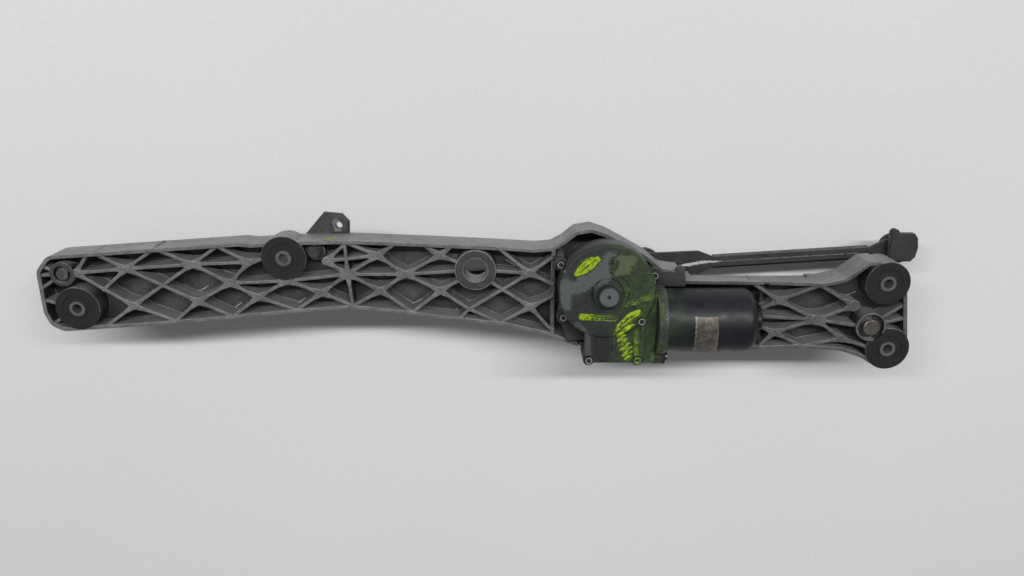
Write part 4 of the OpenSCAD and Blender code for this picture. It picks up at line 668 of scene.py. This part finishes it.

# Bracket, bosses, right rod, and painted highlight lines on the floors of the rib cells

# A paler film over the bracket's folded tab
daub("bracket_tab", [[(226.6, 72, 3.4), (228.4, 60.4, 3.4)]],
     dust_and_painted_light_film("tab_pale", grey(0.095), grey(0.14, 0.02)),
     ragged=0.5, fine=0.4, seed=17.0, tree=beam_top, lift=LIFT_MID, slot="bracket_steel")
LEFT_BOSS, ACCESS_HOLE = (-9, 31), (350, 35)
# Darker rings over the left boss and round the access hole
daub("boss_dark_rings", [ring(*LEFT_BOSS, 8.6, 2.4), ring(*ACCESS_HOLE, 14.2, 3.0)],
     dust_and_painted_light_film("boss_dark_rings", grey(0.018, -0.03), grey(0.05, -0.03)),
     ragged=0.7, fine=0.5, seed=18.0, tree=beam_top, lift=LIFT_MID, step=GRID_NEAT, slot="cast_aluminium")
ON_ROD = dict(tree=rod_side, step=GRID_NEAT, top=ABOVE_ROD, slot="rod_steel", body="right_link")
# Painted highlights on the right rod: a thin lit line along its lower lip, and a glint where its flared end
# turns to the lamp
daub("rod_lip_highlight", [[(560, 29.6, 0.5), (574, 30, 0.5), (640, 34.2, 0.5), (700, 38, 0.5)]],
     dust_and_painted_light_film("rod_lip_highlight", grey(0.09), grey(0.2)),
     ragged=0.4, fine=0.3, seed=19.5, lift=LIFT_LIP, **ON_ROD)
daub("rod_glint", [[(536, 25.6, 0.8), (546, 27, 1.7), (559, 29.4, 1.6), (574, 30, 0.5)]],
     dust_and_painted_light_film("rod_glint", grey(0.2), grey(0.62)),
     ragged=0.5, fine=0.4, seed=19.0, lift=LIFT_MID, **ON_ROD)

# Painted highlights: thin pale lines on the floors of the rib cells, where the feet of the ribs catch the
# lamp
HIGHLIGHT_LINE_HALF = 0.55
HIGHLIGHT_LINES = [
    [(270, 41), (291, 30), (295, 32)], [(276, 10), (293, -1), (306, 6)],
    [(309, -6), (329, -9), (333, -6)], [(334, 6), (346, 0), (351, 2)],
    [(357, -6), (373, -16), (390, -6)], [(380, 10), (401, 0), (417, 10)],
    [(376, 40), (395, 28)], [(400, 31), (410, 37)], [(365, 17), (372, 14), (379, 19)],
    [(261, 30), (277, 30)], [(310, 30), (328, 30)], [(371, 29), (382, 29)],
    [(306, 49), (312, 45), (324, 49)], [(254, 50), (263, 47), (272, 50)],
    [(89, 13), (99, 9), (110, 15)], [(121, -2), (132, -5), (139, 0)],
    [(95, 40), (101, 39)], [(673, 6), (678, 5), (689, 10)], [(642, -36), (649, -38)],
    [(147, 45), (155, 42), (158, 43)], [(171, 4), (187, -2), (196, 4)],
    [(228, 8), (237, 3)]]
daub("cell_highlight_lines", [[(x, y, HIGHLIGHT_LINE_HALF) for x, y in line] for line in HIGHLIGHT_LINES],
     dust_and_painted_light_film("rib_foot_highlight", grey(0.16), grey(0.5)),
     ragged=0.3, fine=0.25, seed=9.0, tree=beam_top, lift=LIFT_HIGHLIGHT, step=GRID_NEAT, top=BETWEEN_RIBS,
     slot="cast_aluminium")


# Label on the motor can

CAN_Y, CAN_Z = -7, 8
LABEL_R, LABEL_CREASE = 28.06, 0.05
LABEL_X, LABEL_LEAN = 534.8, 1.6         # left end at the top, and how far it leans lower down
LABEL_L, LABEL_FLARE = 19.2, 0.6         # length at the top, and how much it grows
LABEL_TOP, LABEL_TURN = 26, 76           # degrees round the can
LABEL_TORN = 0.35                        # raggedness of the two ends
LABEL_WAVES, LABEL_SEED = (7, 9), 3      # creases along and round the can
LABEL_NX, LABEL_NA = 40, 60


def can_label():
    """A sheet bent round the can, slightly askew, with torn ends."""
    points, faces = [], []
    for i in range(LABEL_NX + 1):
        for j in range(LABEL_NA + 1):
            u, v = i / LABEL_NX, j / LABEL_NA
            angle = math.radians(LABEL_TOP - LABEL_TURN * v)
            x = LABEL_X + LABEL_LEAN * v + (LABEL_L + LABEL_FLARE * v) * u
            wobble = noise.noise(Vector((u * LABEL_WAVES[0], v * LABEL_WAVES[1], LABEL_SEED)))
            if i in (0, LABEL_NX):
                x += LABEL_TORN * wobble
            r = LABEL_R + LABEL_CREASE * max(0, wobble)
            points.append(Vector((x, CAN_Y + r * math.sin(angle), CAN_Z + r * math.cos(angle))) * MM)
    row = LABEL_NA + 1
    for i in range(LABEL_NX):
        for j in range(LABEL_NA):
            k = i * row + j
            faces.append([k, k + row, k + row + 1, k + 1])
    add_piece("can_label", points, faces, label_foil(), "beam")


can_label()


# Stage: floor, light, camera

MIDDLE_X = 0.38                          # middle of the beam, in metres
FLOOR_HALF, FLOOR_GAP = 4.0, 0.4 * MM
SKY, SKY_STRENGTH = (0.98, 0.99, 1.0, 1), 0.2
KEY_PLACE, KEY_SIZE, KEY_WATTS = (MIDDLE_X, 1.8, 3.2), (6.0, 0.16), 180.0
SENSOR, FOCAL_PIXELS, PICTURE_PIXELS = 36.0, 790, 1024
EYE, EYE_TILT = (0.3817, 0.2318, 0.6537), -18


def lay_floor():
    """The floor, just below the tips of the spindles."""
    mesh = bpy.data.meshes.new("floor")
    s = FLOOR_HALF
    mesh.from_pydata([(-s, -s, 0), (s, -s, 0), (s, s, 0), (-s, s, 0)], [], [(0, 1, 2, 3)])
    mesh.materials.append(floor_paper())
    floor = bpy.data.objects.new("floor", mesh)
    floor.location = (MIDDLE_X, 0, FLOOR_Z - FLOOR_GAP)
    scene.collection.objects.link(floor)


def light():
    """A pale room and one long narrow lamp behind the beam."""
    world = bpy.data.worlds.new("studio")
    scene.world = world
    world.use_nodes = True
    sky = world.node_tree.nodes["Background"]
    sky.inputs["Color"].default_value = SKY
    sky.inputs["Strength"].default_value = SKY_STRENGTH
    data = bpy.data.lights.new("key", "AREA")
    data.shape = "RECTANGLE"
    data.size, data.size_y = KEY_SIZE
    data.energy = KEY_WATTS
    lamp = bpy.data.objects.new("key", data)
    lamp.location = KEY_PLACE
    lamp.rotation_mode = "QUATERNION"
    lamp.rotation_quaternion = (Vector((MIDDLE_X, 0, 0)) - Vector(KEY_PLACE)).to_track_quat("-Z", "Y")
    scene.collection.objects.link(lamp)


def aim_camera():
    """The view of the photograph."""
    camera = bpy.data.cameras.new("camera")
    camera.sensor_width = SENSOR
    camera.lens = FOCAL_PIXELS / PICTURE_PIXELS * SENSOR
    eye = bpy.data.objects.new("camera", camera)
    eye.location = EYE
    eye.rotation_euler = (math.radians(EYE_TILT), 0, 0)
    scene.collection.objects.link(eye)
    scene.camera = eye


lay_floor()
light()
aim_camera()
scene.view_settings.view_transform = "Standard"
